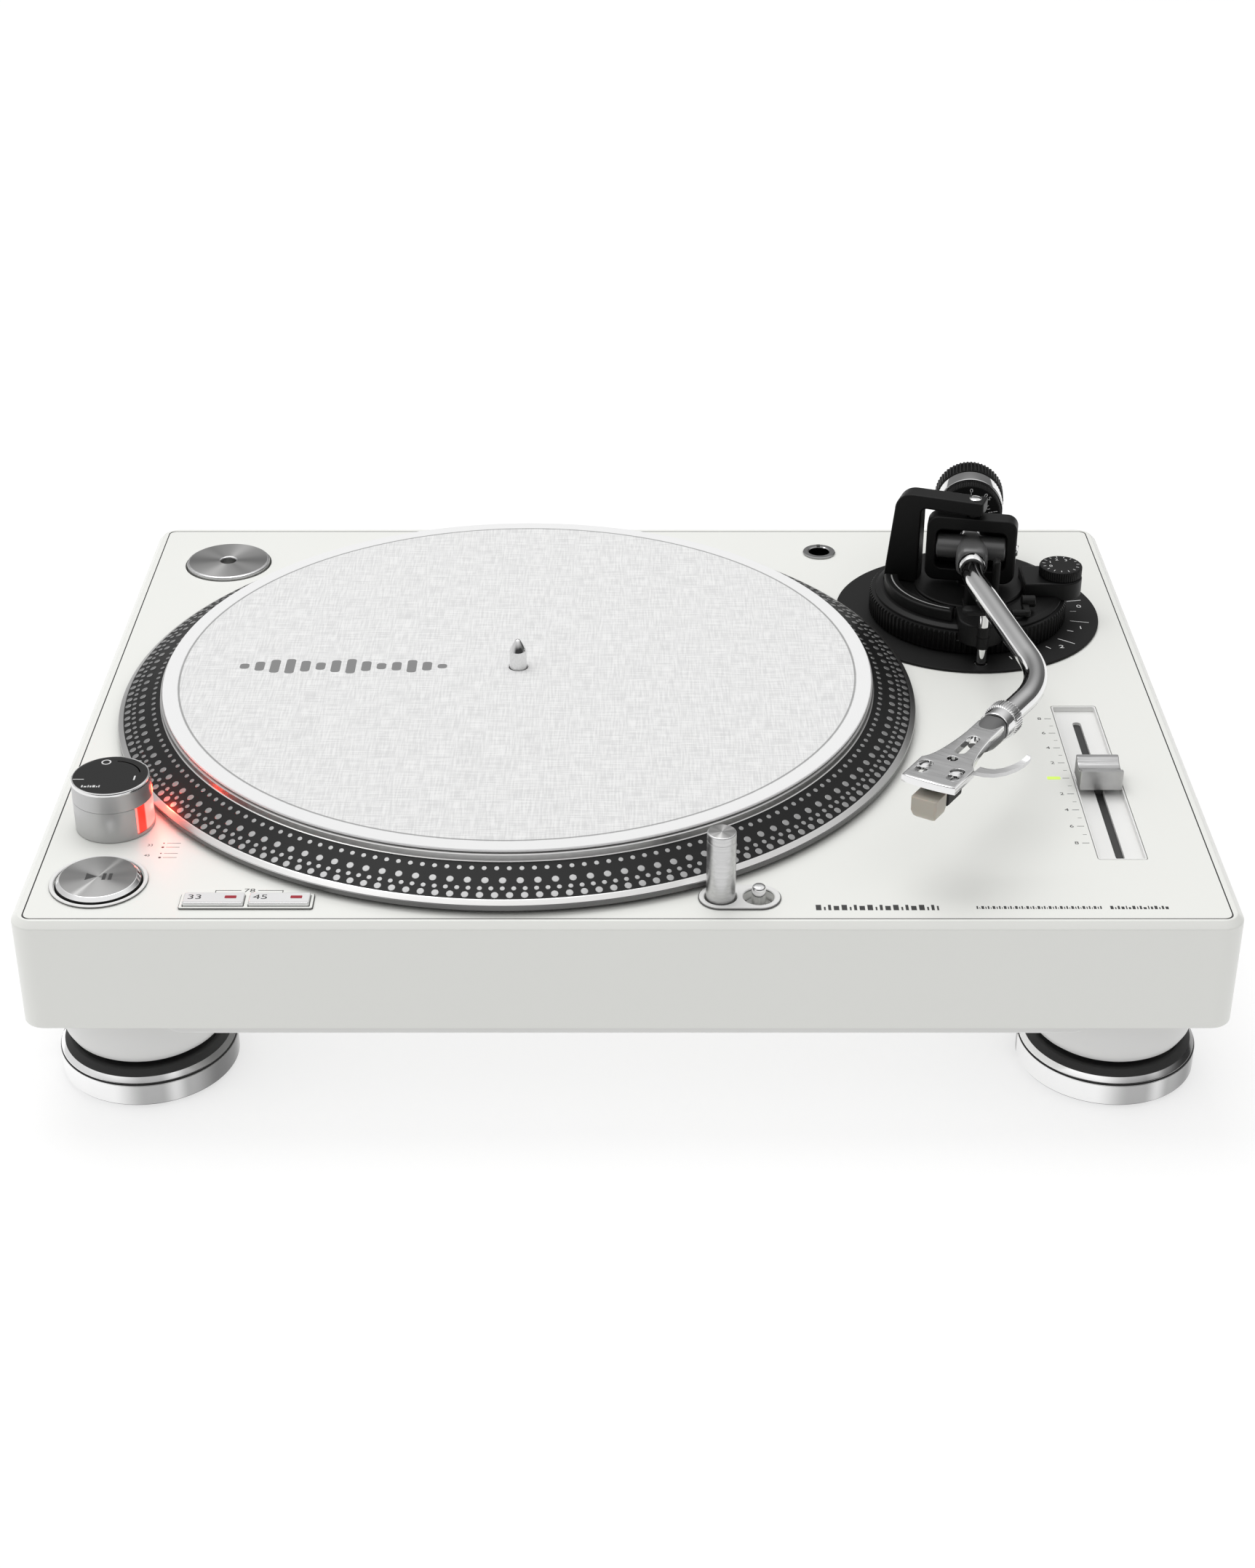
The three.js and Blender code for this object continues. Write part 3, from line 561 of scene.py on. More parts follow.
FINISHES = {
    "paint": paint,
    "moulding": plain(0.80, 0.38, (1, 1, 0.985)),
    "tray": plain(0.84, 0.45, (1, 1, 0.985)),
    "chrome": plain(0.80, 0.07, metal=1.0, spread=0.02),
    "dark_chrome": plain(0.34, 0.10, metal=1.0, spread=0.05),
    "satin": brushed(0.60, 0.32, (40, 900, 900), 0.12),
    "saddle": brushed(0.52, 0.30, (60, 2500, 60), 0.3),
    "head_satin": brushed(0.66, 0.30, (60, 900, 60), 0.06),
    # The spun and turned finishes below paint highlights and shade into the base colour, in bands set
    # by the angle round each piece.
    "spun_button_painted_highlights": spun(0.50, 0.26, [(63, 90, 0.75), (100, 3, 0.25)],
                        [(8, 9, 0.35), (160, 12, 0.35)]),
    "spun_lamp_painted_highlights": spun(0.48, 0.28, [(75, 14, 0.8), (30, 30, 0.3)], [(0, 5, 0.35), (130, 10, 0.3)]),
    "spun_adapter_painted_highlights": spun(0.50, 0.28, [(70, 10, 0.6)], [(0, 6, 0.45), (125, 20, 0.2)]),
    "turned": spun(0.62, 0.30, [(75, 3, 0.2)], [(0, 3, 0.15)], 0.8),
    # Dark grey metal: the fader knob's dark ends, and painted shade along the bottom of the platter's
    # outer wall.
    "dark_ends_and_painted_rim_shade": plain(0.16, 0.35, metal=0.8),
    "bevel_black": plain(0.008, 0.4, grain=0.003, scale=1500, extra=DULL),
    "dot": plain(0.30, 0.35, metal=0.7, spread=0.2),
    "painted_reflection_chrome": painted_reflection_chrome,
    "key": plain(0.88, 0.3, metal=0.5),
    "black": plain(0.006, 0.42, grain=0.006, scale=1600, extra=DULL),
    "black_matte": plain(0.010, 0.55, grain=0.01, scale=1800, extra=DULL),
    "black_disc": plain(0.020, 0.5, grain=0.006, scale=1800, extra=DULL),
    "black_moulding": plain(0.008, 0.45, extra=DULL),
    "rubber": plain(0.018, 0.62, grain=0.02, scale=1200),
    "grey": plain(0.13, 0.36, metal=0.35, grain=0.003),
    "copper": brushed(0.42, 0.35, (1200, 60, 60), 0.4),
    "steel": brushed(0.42, 0.35, (900, 60, 900), 0.15),
    "magnet": plain(0.06, 0.6, metal=0.4, grain=0.01),
    "board": plain(0.10, 0.5, (0.25, 1.0, 0.45), grain=0.01),
    "linen": linen,
    "ivory": plain(0.46, 0.30, (1.0, 0.93, 0.80), extra={"Subsurface Weight": 0.25,
                                                       "Subsurface Scale": 0.002}),
    "dial_side_painted_shading": dial_side_painted_shading,
    "strobe_red": strobe_red,
    "led_red": plain(0.36, 0.3, (1.0, 0.02, 0.06)),
    "led_green": glow((0.55, 0.75, 0.12), 0.55),
    "ink": plain(0.035, 0.5),
    "groove": plain(0.10, 0.6),
    "mat_ink": plain(0.24, 0.9),
    "white_ink": plain(0.72, 0.5),
    "grey_ink": plain(0.30, 0.5),
}


def looks(*names):
    return [look(name) for name in names]


# ---- settings -----------------------------------------------------------------------------------
class TurntableSizes(bpy.types.PropertyGroup):
    """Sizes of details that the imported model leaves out, in millimetres."""

    groove_width: FloatProperty(name="Groove Width", description="Width of the line round the deck",
                                default=0.5, min=0.1, max=2)
    groove_depth: FloatProperty(name="Groove Depth", description="Depth of the line round the deck",
                                default=0.5, min=0.1, max=2)
    dot_height: FloatProperty(name="Dot Height", description="How far a strobe dot stands out",
                              default=0.16, min=0, max=1)
    mat_ring: FloatProperty(name="Mat Ring",
                            description="Radius of the line printed on the slipmat",
                            default=140.3, min=100, max=146)
    print_up: FloatProperty(name="Print Thickness", description="How far printed marks stand out",
                            default=0.03, min=0.01, max=0.2)
    ring_ribs: IntProperty(name="Height Ring Ribs", description="Grip ribs round the height ring",
                           default=116, min=20, max=200)
    weight_ribs: IntProperty(name="Counterweight Ribs", description="Grip ribs round the weight",
                             default=58, min=20, max=120)
    screw_slot: FloatProperty(name="Screw Slot", description="Width of a screwdriver slot",
                              default=0.8, min=0.2, max=2)


class TurntableFinish(bpy.types.PropertyGroup):
    """Colours and strengths of the finishes and of the lighting."""

    paint_colour: FloatVectorProperty(name="Paint", description="Colour of the white lacquer",
                                      subtype="COLOR", default=(0.875, 0.880, 0.845), min=0, max=1)
    paint_roughness: FloatProperty(name="Paint Roughness", description="Gloss of the lacquer",
                                   default=0.34, min=0, max=1, subtype="FACTOR")
    strobe_strength: FloatProperty(name="Strobe Window", description="Brightness of the red window",
                                   default=1.0, min=0, max=20)
    strobe_glow: FloatProperty(name="Strobe Light", description="Power of the light on the dots",
                               default=0.009, min=0, max=5, unit="POWER")
    sky: FloatProperty(name="Overhead", description="Brightness of the surroundings overhead",
                       default=1.28, min=0, max=5)
    horizon: FloatProperty(name="Horizon", description="Brightness of the surroundings low down",
                           default=0.22, min=0, max=5)
    floor_glow: FloatProperty(name="Floor Glow", description="Light the floor gives off itself",
                              default=0.64, min=0, max=2)


def sizes():
    return bpy.context.scene.turntable_sizes


def tuning():
    return bpy.context.scene.turntable_finish


# ---- pieces -------------------------------------------------------------------------------------
class Builder:
    """An operator that builds its pieces and is done."""

    bl_options = {"REGISTER"}

    def execute(self, context):
        self.build()
        return {"FINISHED"}


FLAT = Matrix.Rotation(math.pi / 2, 4, "X")     # lays XY outlines upright: their Z faces the front
BEVEL = [(0, -2.9), (0.06, -2.6), (0.26, -2.24), (2.24, -0.26), (2.5, -0.1), (2.8, -0.02), (3.1, 0)]


def around(angle, reach, turn=0.0):
    """Turned about Z by degrees, then moved out along X."""
    return (Matrix.Rotation(math.radians(angle), 4, "Z") @ Matrix.Translation((reach, 0, 0))
            @ Matrix.Rotation(math.radians(turn), 4, "Z"))


def ticks(form, angles, inner, outer, wide, at=Matrix.Identity(4), finish=0, thick=0.03):
    for angle in angles:
        mark = flat_bar(Form(), inner, outer, -wide / 2, wide / 2, 0, thick)
        form.add(mark, at @ around(angle, 0), finish)
    return form


def strokes(form, x0, x1, y, tall, widths, low, finish=0):
    """A row of upright strokes of several widths: a generic mark where the maker put words."""
    x, k = x0, 0
    while x < x1:
        wide = widths[k % len(widths)] * tall
        high = tall * (1.0, 0.62, 1.0, 0.8)[k % 4]
        flat_bar(form, x, min(x + wide, x1), y - tall / 2, y - tall / 2 + high, low,
                 low + sizes().print_up, finish)
        x, k = x + wide + 0.26 * tall, k + 1
    return form


def slotted_screw(radius, high):
    """Round-headed screw with a screwdriver slot, its foot at the origin."""
    half = sizes().screw_slot / 2
    form = Form().lathe([(0, -0.4), (radius, -0.4), (radius, high * 0.4),
                         (radius * 0.8, high * 0.85),
                         (radius * 0.45, high), (0, high)], 48)
    flat_bar(form, -radius * 0.86, radius * 0.86, -half, half, high * 0.5, high * 1.04, 1)
    return form


class TURNTABLE_OT_plinth(Builder, bpy.types.Operator):
    """White plinth: one folded casing with bevelled edges and a line cut round the deck"""
    bl_idname = "turntable.plinth"
    bl_label = "Plinth"

    def build(self):
        low, high = low_high("plinth_shell")
        outline = rounded_box(low.x, high.x, low.y, high.y, 9, 10)
        wide, deep = sizes().groove_width, sizes().groove_depth
        form, under = Form(), DECK - 3.5
        walls = [form.ring([(x, y, low.z) for x, y in outline])]
        walls += [form.ring([(x, y, DECK + up) for x, y in grown(outline, -inset)])
                  for inset, up in BEVEL]
        lines = [form.ring([(x, y, DECK - drop) for x, y in
                             rounded_box(-220.4 + inset, 220.4 - inset, -171.6 + inset,
                                         170.4 - inset, 3, 6)])
                 for inset, drop in ((0, 0), (0.05, deep), (wide - 0.05, deep), (wide, 0))]
        spots = [("start_button", 16.3), ("stylus_lamp", 6.1), ("lamp_button", 5.9),
                 ("headshell_socket", 6.6), ("adapter_45", 20), ("spindle", 78)]
        openings = [circle(middle(n).x, middle(n).y, r, 64) for n, r in spots]
        openings += [circle(PIVOT.x, PIVOT.y, 26, 48), circle(PIVOT.x + 0.3, PIVOT.y - 50.5, 3, 24)]
        speed, fader = middle("speed_bezel"), middle("fader_tray")
        openings.append(rounded_box(speed.x - 24.6, speed.x + 24.6, speed.y - 4.4, speed.y + 4.8,
                                    0.6, 2))
        openings.append(rounded_box(fader.x - 9.5, fader.x + 9.5, fader.y - 61.4, fader.y + 61.4, 1,
                                    3))
        tops, bottoms = [], []
        for opening in openings:
            rings = [form.ring([(x, y, z) for x, y in grown(opening, by)])
                     for by, z in ((0.2, DECK), (0.06, DECK - 0.06), (0, DECK - 0.2), (0, under))]
            for a, b in zip(rings, rings[1:]):
                form.band(a, b, 0)
            tops.append(rings[0])
            bottoms.append(rings[-1])
        inner = grown(outline, -3)
        ceiling, skirt = (form.ring([(x, y, z) for x, y in inner]) for z in (under, low.z))
        for a, b in zip(walls, walls[1:]):
            form.band(a, b, 0)
        for a, b, finish in ((0, 1, 1), (1, 2, 1), (2, 3, 1)):
            form.band(lines[a], lines[b], finish)
        form.fill([walls[-1], lines[0]], 0)
        form.fill([lines[3], *tops], 0)
        form.fill([ceiling, *bottoms], 0)
        form.band(ceiling, skirt, 0)
        form.fill([walls[0], skirt], 0)
        cup = Form().lathe([(20, -3.5), (20, -9), (0, -9), (0, -10.5), (22, -10.5), (22, -3.5)], 64)
        form.add(cup, on_deck("adapter_45"))
        plinth = make("plinth", form, Matrix.Identity(4), "chassis",
                      looks("paint", "groove"), ["plinth_shell"], sharp=28)
        gap_low, gap_high = low_high("rear_panel")
        tool = bpy.data.objects.new("cutter", bpy.data.meshes.new("cutter"))
        bpy.context.scene.collection.objects.link(tool)
        block = bmesh.new()
        bmesh.ops.create_cube(block, size=1.0)
        for v in block.verts:
            v.co = Vector((gap_low.x - 0.3 if v.co.x < 0 else gap_high.x + 0.3,
                           160 if v.co.y < 0 else 190,
                           gap_low.z - 0.3 if v.co.z < 0 else gap_high.z + 0.3)) * MM
        block.to_mesh(tool.data)
        block.free()
        cut = plinth.modifiers.new("rear opening", "BOOLEAN")
        cut.object, cut.operation, cut.solver = tool, "DIFFERENCE", "EXACT"
        plinth.modifiers.move(1, 0)
        seen = plinth.evaluated_get(bpy.context.evaluated_depsgraph_get())
        finished = bpy.data.meshes.new_from_object(seen)
        plinth.modifiers.clear()
        plinth.data = finished
        bpy.data.objects.remove(tool)


class TURNTABLE_OT_base(Builder, bpy.types.Operator):
    """Bottom cover with its shallow tray and the four moulded cups over the feet"""
    bl_idname = "turntable.base"
    bl_label = "Base"

    def build(self):
        low, high = low_high("base_pan")
        form = Form()
        form.plate(rounded_box(low.x, high.x, low.y, high.y, 6, 6), 41.3, 44.3, edge=0.3, foot=0.6)
        form.plate(rounded_box(-176.5, 176.5, low.y, high.y, 12, 8), low.z + 18.5, 42, edge=0,
                   foot=1.6)
        for x in (-186.5, 186.5):
            for y in (-136, 136):
                cup = Form().lathe([(7.3, 34), (7.3, 17), (25.5, 17), (28, 17.5), (29.8, 19),
                                    (31.4, 22),
                                    (32.5, 27), (33.1, 33), (33.4, 41.6), (0, 41.6), (0, 34)], 96)
                form.add(cup, Matrix.Translation((x, y, 0)))
        make("base", form, Matrix.Identity(4), "chassis", looks("moulding"),
             ["base_pan"])


class TURNTABLE_OT_feet(Builder, bpy.types.Operator):
    """Four feet: a chrome height ring round a rubber damper"""
    bl_idname = "turntable.feet"
    bl_label = "Feet"

    def build(self):
        for corner in ("front_left", "front_right", "rear_left", "rear_right"):
            spot = middle(f"foot_ring_{corner}")
            at = Matrix.Translation((spot.x, spot.y, 0))
            ring = Form().lathe([(28, 1.6), (33.6, 1.6, 1), (34.0, 1.7), (34.2, 2.0, 0),
                                 (34.2, 10.2),
                                 (34.0, 10.5, 1), (33.5, 10.7), (33.5, 11.1), (33.7, 11.3, 0),
                                 (33.6, 11.6),
                                 (32.1, 13.3, 1), (30.1, 15.3), (29.6, 15.5), (28.4, 15.5),
                                 (28, 15.1)], 128)
            make(f"foot_{corner}_ring", ring, at, f"foot_{corner}",
                 looks("painted_reflection_chrome", "rubber"), [f"foot_ring_{corner}"], sharp=40)
            pad = Form().lathe([(0, 0), (30, 0), (30.8, 0.3), (31, 1), (27.7, 1.2), (27.7, 14),
                                (27.3, 14.4),
                                (25.7, 14.6), (25.5, 16.5), (7, 16.7), (7, 30), (0, 30)], 64)
            make(f"foot_{corner}_pad", pad, at, f"foot_{corner}", looks("rubber"),
                 [f"foot_damper_{corner}"])


class TURNTABLE_OT_platter(Builder, bpy.types.Operator):
    """Turned platter whose black bevel carries four rows of strobe dots, and the record spindle"""
    bl_idname = "turntable.platter"
    bl_label = "Platter"

    def build(self):
        at = on_deck("platter")
        # The underside of the rim and its outer wall up to 3.8 mm take the dark grey finish: painted
        # shade along the bottom of the rim.
        form = Form().lathe([
            (4, 14.9, 0), (4, 5), (12, 5), (14, 10.5), (140, 10.5), (159, 1.7, 1), (165.6, 1.7),
            (166, 2.1),
            (166, 3.8, 0), (165.8, 4.2), (164.1, 5.3), (163.7, 5.5, 2), (148.6, 11.9),
            (148.3, 12.0, 0),
            (147.9, 12.2), (147.9, 14.6), (147.6, 14.9)], 256)
        fall = math.atan2(6.4, 15.2)
        lean = Matrix.Rotation(fall, 4, "Y")
        for radius, count, big in ((162, 186, 1.42), (159.3, 240, 0.98), (156, 152, 1.42),
                                   (151, 206, 0.98)):
            up = 5.6 + (163.6 - radius) * math.tan(fall)
            for i in range(count):
                spot = around(360 * i / count, radius) @ Matrix.Translation((0, 0, up)) @ lean
                form.dome(spot, big, sizes().dot_height, 0.02, 12 if big > 1 else 10, 3)
        make("platter_turned", form, at, "platter_unit",
             looks("turned", "dark_ends_and_painted_rim_shade", "bevel_black", "dot"), ["platter"], sharp=24)
        spindle = Form().lathe([(0, -35), (3.6, -35), (3.6, 23.6), (3.4, 24.2), (2.95, 25.4),
                                (2.2, 26.8),
                                (1.2, 28.4), (0.9, 28.8), (0, 29)], 48)
        make("record_spindle", spindle, on_deck("spindle"), "platter_unit",
             looks("chrome"), ["spindle"], sharp=50)


class TURNTABLE_OT_slipmat(Builder, bpy.types.Operator):
    """White felt slipmat with a plain printed row of bars"""
    bl_idname = "turntable.slipmat"
    bl_label = "Slipmat"

    def build(self):
        at = on_deck("slipmat")
        form = Form().lathe([(4, 15.2), (146.6, 15.2), (147, 15.4), (147, 16.0), (146.8, 16.3),
                             (146.4, 16.4), (4.4, 16.4), (4, 16.1)], 256)
        mat = make("felt_slipmat", form, at, "platter_unit", looks("linen"),
                   ["slipmat"])
        form, levels = Form(), (0.35, 0.62, 0.9, 1.0, 0.74, 0.5, 0.82, 1.0, 0.68, 0.42, 0.58, 0.86,
                                0.6, 0.3)
        step = 89 / len(levels)
        for k, level in enumerate(levels):
            x, half = -116.4 + k * step, 6.5 * level
            form.plate(rounded_box(x, x + step * 0.62, 0.1 - half, 0.1 + half, 1.4, 4), 16.4, 16.44,
                       edge=0)
        make("slipmat_print", form, at, "platter_unit", looks("mat_ink"))


class TURNTABLE_OT_start(Builder, bpy.types.Operator):
    """Round start and stop button in its ring, marked with the play and pause signs"""
    bl_idname = "turntable.start"
    bl_label = "Start Button"

    def build(self):
        at = on_deck("start_button")
        ring = Form().lathe([(16.6, 0.3), (18.1, 0.3, 1), (18.3, 0.4), (18.2, 0.7, 0), (17.9, 0.9),
                             (16.9, 0.9), (16.6, 0.6)], 96)
        make("start_ring", ring, at, "chassis", looks("moulding", "groove"),
             ["start_bezel"])
        form = Form().lathe([(0, -12), (4, -12), (4, -4), (15.2, -4), (15.7, -3.6), (15.9, -3),
                             (15.9, 1.1),
                             (15.7, 1.25, 1), (15.5, 1.35), (14.5, 2.45), (14.2, 2.6, 2), (0, 2.6)],
                            128)
        up = 2.6
        for x in (1.6, 3.9):
            flat_bar(form, x, x + 1.3, -2.2, 2.2, up, up + sizes().print_up, 3)
        form.plate([(-4.6, -2.4), (-0.6, 0), (-4.6, 2.4)], up, up + sizes().print_up, edge=0,
                   finish=3)
        make("start_key_top", form, at, "start_key",
             looks("black_moulding", "chrome", "spun_button_painted_highlights", "ink"), ["start_button"], sharp=28)


class TURNTABLE_OT_speed(Builder, bpy.types.Operator):
    """Two speed buttons, each with a small lamp, in their shared frame"""
    bl_idname = "turntable.speed"
    bl_label = "Speed Buttons"

    def build(self):
        spot = middle("speed_bezel")
        at = Matrix.Translation((spot.x, spot.y + 0.2, DECK))
        rims = [rounded_box(-24.6 + g, 24.6 - g, -5.2 + g, 4.9 - g, 0.8, 4) for g in (0, 0.2)]
        form = Form().plate(rims[0], 0.3, 0.62, [rims[1]], edge=0.1, finish=1)
        keys = [rounded_box(s * 12.05 - 11.35, s * 12.05 + 11.35, -4.15, 4.05, 0.5,
                            3) for s in (-1, 1)]
        form.plate(rims[1], 0.3, 0.8, keys, edge=0.1)
        make("speed_frame", form, at, "chassis", looks("paint", "groove"),
             ["speed_bezel"])
        for words in ("33", "45"):
            node = f"speed_button_{words}"
            place = on_deck(node)
            key = Form().plate(rounded_box(-11.05, 11.05, -3.75, 3.75, 0.6, 4), -4, 2.0, edge=0.3,
                               finish=0)
            key.plate(rounded_box(-10.9, 10.9, -3.7, -2.7, 0.4, 3), 1.6, 2.08, edge=0.25, finish=1)
            flat_bar(key, -3, 3, -2, 2, -11, -3.9)
            key.text(words, 3.1, Matrix.Translation((-7.0, 0.5, 2.0)), 2, 0.03, 1.3)
            key.plate(rounded_box(4.0, 8.3, -0.3, 1.5, 0.3, 3), 2.0, 2.12, edge=0.08, finish=3)
            make(f"speed_key_{words}_top", key, place, f"speed_key_{words}",
                 looks("key", "chrome", "ink", "led_red"), [node])


class TURNTABLE_OT_lamp(Builder, bpy.types.Operator):
    """Pop-up stylus lamp, its release pin and the plate that holds both"""
    bl_idname = "turntable.lamp"
    bl_label = "Stylus Lamp"

    def build(self):
        lamp, pin = middle("stylus_lamp"), middle("lamp_button")
        at, apart = on_deck("stylus_lamp"), pin.x - lamp.x
        outline = rounded_box(-8.3, apart + 8.3, -8.3, 8.3, 8.2, 20)
        form = Form().plate(outline, 0.3, 0.55, edge=0.1, finish=1,
                            holes=[circle(0, 0, 6.0, 48), circle(apart, 0, 5.8, 48)])
        form.plate(grown(outline, -0.35), 0.5, 1.0, edge=0.25, hole_edge=0.6,
                   holes=[circle(0, 0, 6.0, 48), circle(apart, 0, 5.8, 48)])
        make("lamp_plate", form, at, "chassis", looks("moulding", "groove"),
             ["lamp_bezel"])
        post = Form().lathe([(0, -8), (5.4, -8), (5.4, 24.9), (5.25, 25.1), (5.25, 25.4),
                             (5.4, 25.6),
                             (5.4, 28.2), (5.2, 28.5), (4.9, 28.7, 1), (0, 28.7)], 96)
        window = Form().plate(rounded_box(-1.9, 1.9, -2.8, 2.8, 0.6, 4), 5.3, 5.5, edge=0.08)
        post.add(window, Matrix.Translation((0, 0, 22)) @ Matrix.Rotation(-math.pi / 2, 4, "X"), 2)
        make("stylus_lamp_post", post, at, "lamp_post",
             looks("satin", "spun_lamp_painted_highlights", "ivory"), ["stylus_lamp"], sharp=40)
        button = Form().lathe([(0, -6), (5.2, -6), (5.2, -3), (2.6, -3), (2.6, 4.4), (2.45, 5.0),
                               (2.1, 5.4),
                               (1.2, 5.6), (0, 5.6)], 48)
        make("lamp_release_pin", button, on_deck("lamp_button"), "lamp_key",
             looks("chrome"),
             ["lamp_button"], sharp=50)


class TURNTABLE_OT_dial(Builder, bpy.types.Operator):
    """Strobe tower with its red window, and the power dial on top"""
    bl_idname = "turntable.dial"
    bl_label = "Power Dial"

    def build(self):
        at = on_deck("power_dial")
        post = Form().plate(
            [*arc(0, 0, 15.2, 50.5, 313.5, 72), *arc(0, 0, 11, 313.5, 410.5, 24)], 0.3, 13.0,
            edge=0.1,
            holes=[circle(0, 0, 3.4, 32)])
        post.plate([*arc(0, 0, 15.2, -47, 51, 24), *arc(0, 0, 10.9, 51, -47, 24)], 0.3, 1.5,
                   edge=0.1)
        away = Vector((middle("spindle").x, middle("spindle").y)) - Vector((at.translation.x,
                                                                            at.translation.y))
        post.points = [self.clear(p, away) for p in post.points]
        make("strobe_tower", post, at, "chassis", looks("dial_side_painted_shading"),
             ["strobe_housing"])
        glass = Form().plate([*arc(0, 0, 15.0, -44.3, 48.3, 24), *arc(0, 0, 11.3, 48.3, -44.3, 24)],
                             1.8, 12.7, edge=0.2)
        glass.points = [self.clear(p, away) for p in glass.points]
        make("strobe_lens", glass, at, "chassis", looks("strobe_red"),
             ["strobe_window"])
        knob = Form()
        knob.lathe([(0, 2), (3, 2), (3, 13.1), (15.15, 13.1), (15.2, 13.2, 0), (15.05, 20.2, 1),
                    (14.95, 20.9),
                    (14.8, 21.3), (14.5, 21.5), (14.3, 21.5), (14.2, 21.3, 2), (0, 21.3)], 128)
        # Painted shade: upper barrel faces towards the window, between -48 and 55 degrees, are meant to
        # take the darker chrome; only faces wholly above 13.7 mm count, and this profile has none, so
        # nothing changes.
        hood = [k for k, face in enumerate(knob.faces)
                if knob.finishes[k] == 0 and all(knob.points[i][2] > 13.7 for i in face)]
        for k in hood:
            x = sum(knob.points[i][0] for i in knob.faces[k])
            y = sum(knob.points[i][1] for i in knob.faces[k])
            if -48 < math.degrees(math.atan2(y, x)) < 55:
                knob.finishes[k] = 4
        top, thick = 21.3, sizes().print_up
        knob.loft([[(10.9 * math.cos(a), 10.9 * math.sin(a), top + z),
                    (11.4 * math.cos(a), 11.4 * math.sin(a), top + z)]
                   for z in (thick,) for a in [math.radians(86 - 2.5 * k) for k in range(30)]], 3,
                  caps=False)
        knob.add(Form().plate(circle(0, 0, 1.9, 32), 0, thick, [circle(0, 0, 1.35, 32)], edge=0,
                              hole_edge=0),
                 Matrix.Translation((-3.4, 10.4, top)), 3)
        flat_bar(knob, 9.2, 9.8, -3.4, -0.2, top, top + thick, 3)
        flat_bar(knob, -13.8, -9.6, -3.05, -2.65, top, top + thick, 3)
        strokes(knob, -9.6, -2.6, -8.2, 1.5, (0.4, 0.7, 0.3), top, 3)
        make("power_knob_top", knob, at, "power_knob",
             looks("dial_side_painted_shading", "chrome", "black_disc", "white_ink", "dark_chrome"), ["power_dial"],
             sharp=30)

    @staticmethod
    def clear(point, away):
        """Keeps a point of the tower outside the platter's rim."""
        reach = Vector((point[0], point[1])) - away
        if reach.length < 167:
            reach = away + reach.normalized() * 167
            return (reach.x, reach.y, point[2])
        return point


class TURNTABLE_OT_fader(Builder, bpy.types.Operator):
    """Pitch fader: sunken tray with a slot, and the saddle-shaped knob"""
    bl_idname = "turntable.fader"
    bl_label = "Pitch Fader"

    def build(self):
        spot = middle("fader_tray")
        at = Matrix.Translation((spot.x, spot.y, DECK))
        slot = rounded_box(-1.7, 1.7, -57.5, 51.3, 1.65, 8)
        form = Form().plate(rounded_box(-9.2, 9.2, -61.1, 61.1, 0.9, 4), -0.75, -0.1, edge=0.1,
                            holes=[rounded_box(-8.6, 8.6, -60.5, 60.5, 0.6, 4)])
        form.plate(rounded_box(-9.2, 9.2, -61.1, 61.1, 0.9, 4), -4.0, -0.7, edge=0,
                   holes=[rounded_box(-8.6, 8.6, -60.5, 60.5, 0.6, 4)], hole_edge=0)
        form.plate(rounded_box(-8.7, 8.7, -60.6, 60.6, 0.6, 4), -4.0, -2.4, edge=0, holes=[slot])
        form.plate(grown(slot, 0.05), -3.9, -3.7, edge=0, finish=1)
        make("fader_well", form, at, "chassis", looks("tray", "ink"),
             ["fader_tray"])
        knob_at = middle("fader_knob")
        place = Matrix.Translation((knob_at.x, knob_at.y, DECK))
        side, half = [], 7.0
        for k in range(25):
            y = -half + 2 * half * k / 24
            drop = math.sqrt(max(0.0, 49 - y * y)) * 0.97
            side.append((y, min(8.8, 13.4 - drop) if abs(y) < 6.4 else 8.8))
        outline = [(-half, 0.6), (-half + 0.3, 0.3), (half - 0.3, 0.3), (half, 0.6),
                   *reversed(side)]
        knob = Form().plate(outline, -8.4, 8.4, edge=0.5, foot=0.5, finish=0, edge_finish=1)
        turn = Matrix(((0, 0, 1, 0), (1, 0, 0, 0), (0, 1, 0, 0), (0, 0, 0, 1)))
        whole = Form().add(knob, turn)
        flat_bar(whole, -0.35, 0.35, -6.0, 6.0, 6.42, 6.47, 2)
        flat_bar(whole, -1.3, 1.3, -3, 3, -11, 0.4, 1)
        make("fader_handle", whole, place, "pitch_slider",
             looks("dark_ends_and_painted_rim_shade", "saddle", "ink"), ["fader_knob"], sharp=34)


class TURNTABLE_OT_adapter(Builder, bpy.types.Operator):
    """Aluminium adapter for 45 rpm records, and the socket for a spare headshell"""
    bl_idname = "turntable.adapter"
    bl_label = "Adapter And Socket"

    def build(self):
        form = Form().lathe([(3.6, -8.7), (18.2, -8.7), (19.2, -1), (19.2, 0.9), (19.0, 1.3),
                             (18.5, 1.6),
                             (18.1, 1.7, 1), (4.2, 1.7, 0), (3.8, 1.5), (3.6, 1.1)], 128)
        make("adapter_ring", form, on_deck("adapter_45"), "adapter",
             looks("satin", "spun_adapter_painted_highlights"), ["adapter_45"], sharp=24)
        spot = middle("headshell_socket")
        at = Matrix.Translation((spot.x, spot.y, DECK))
        form = Form().lathe([(4.7, 0.3), (4.7, -19.9), (0, -19.9), (0, -22), (6.2, -22), (6.2, 0.3),
                             (7.6, 0.3), (7.6, 0.7), (7.3, 1.0), (5.3, 1.0), (4.8, 0.6)], 64)
        flat_bar(form, -0.8, 0.8, 4.9, 7.4, 0.6, 1.04, 1)
        make("spare_headshell_socket", form, at, "chassis", looks("dark_chrome", "ink"),
             ["headshell_socket"], sharp=24)


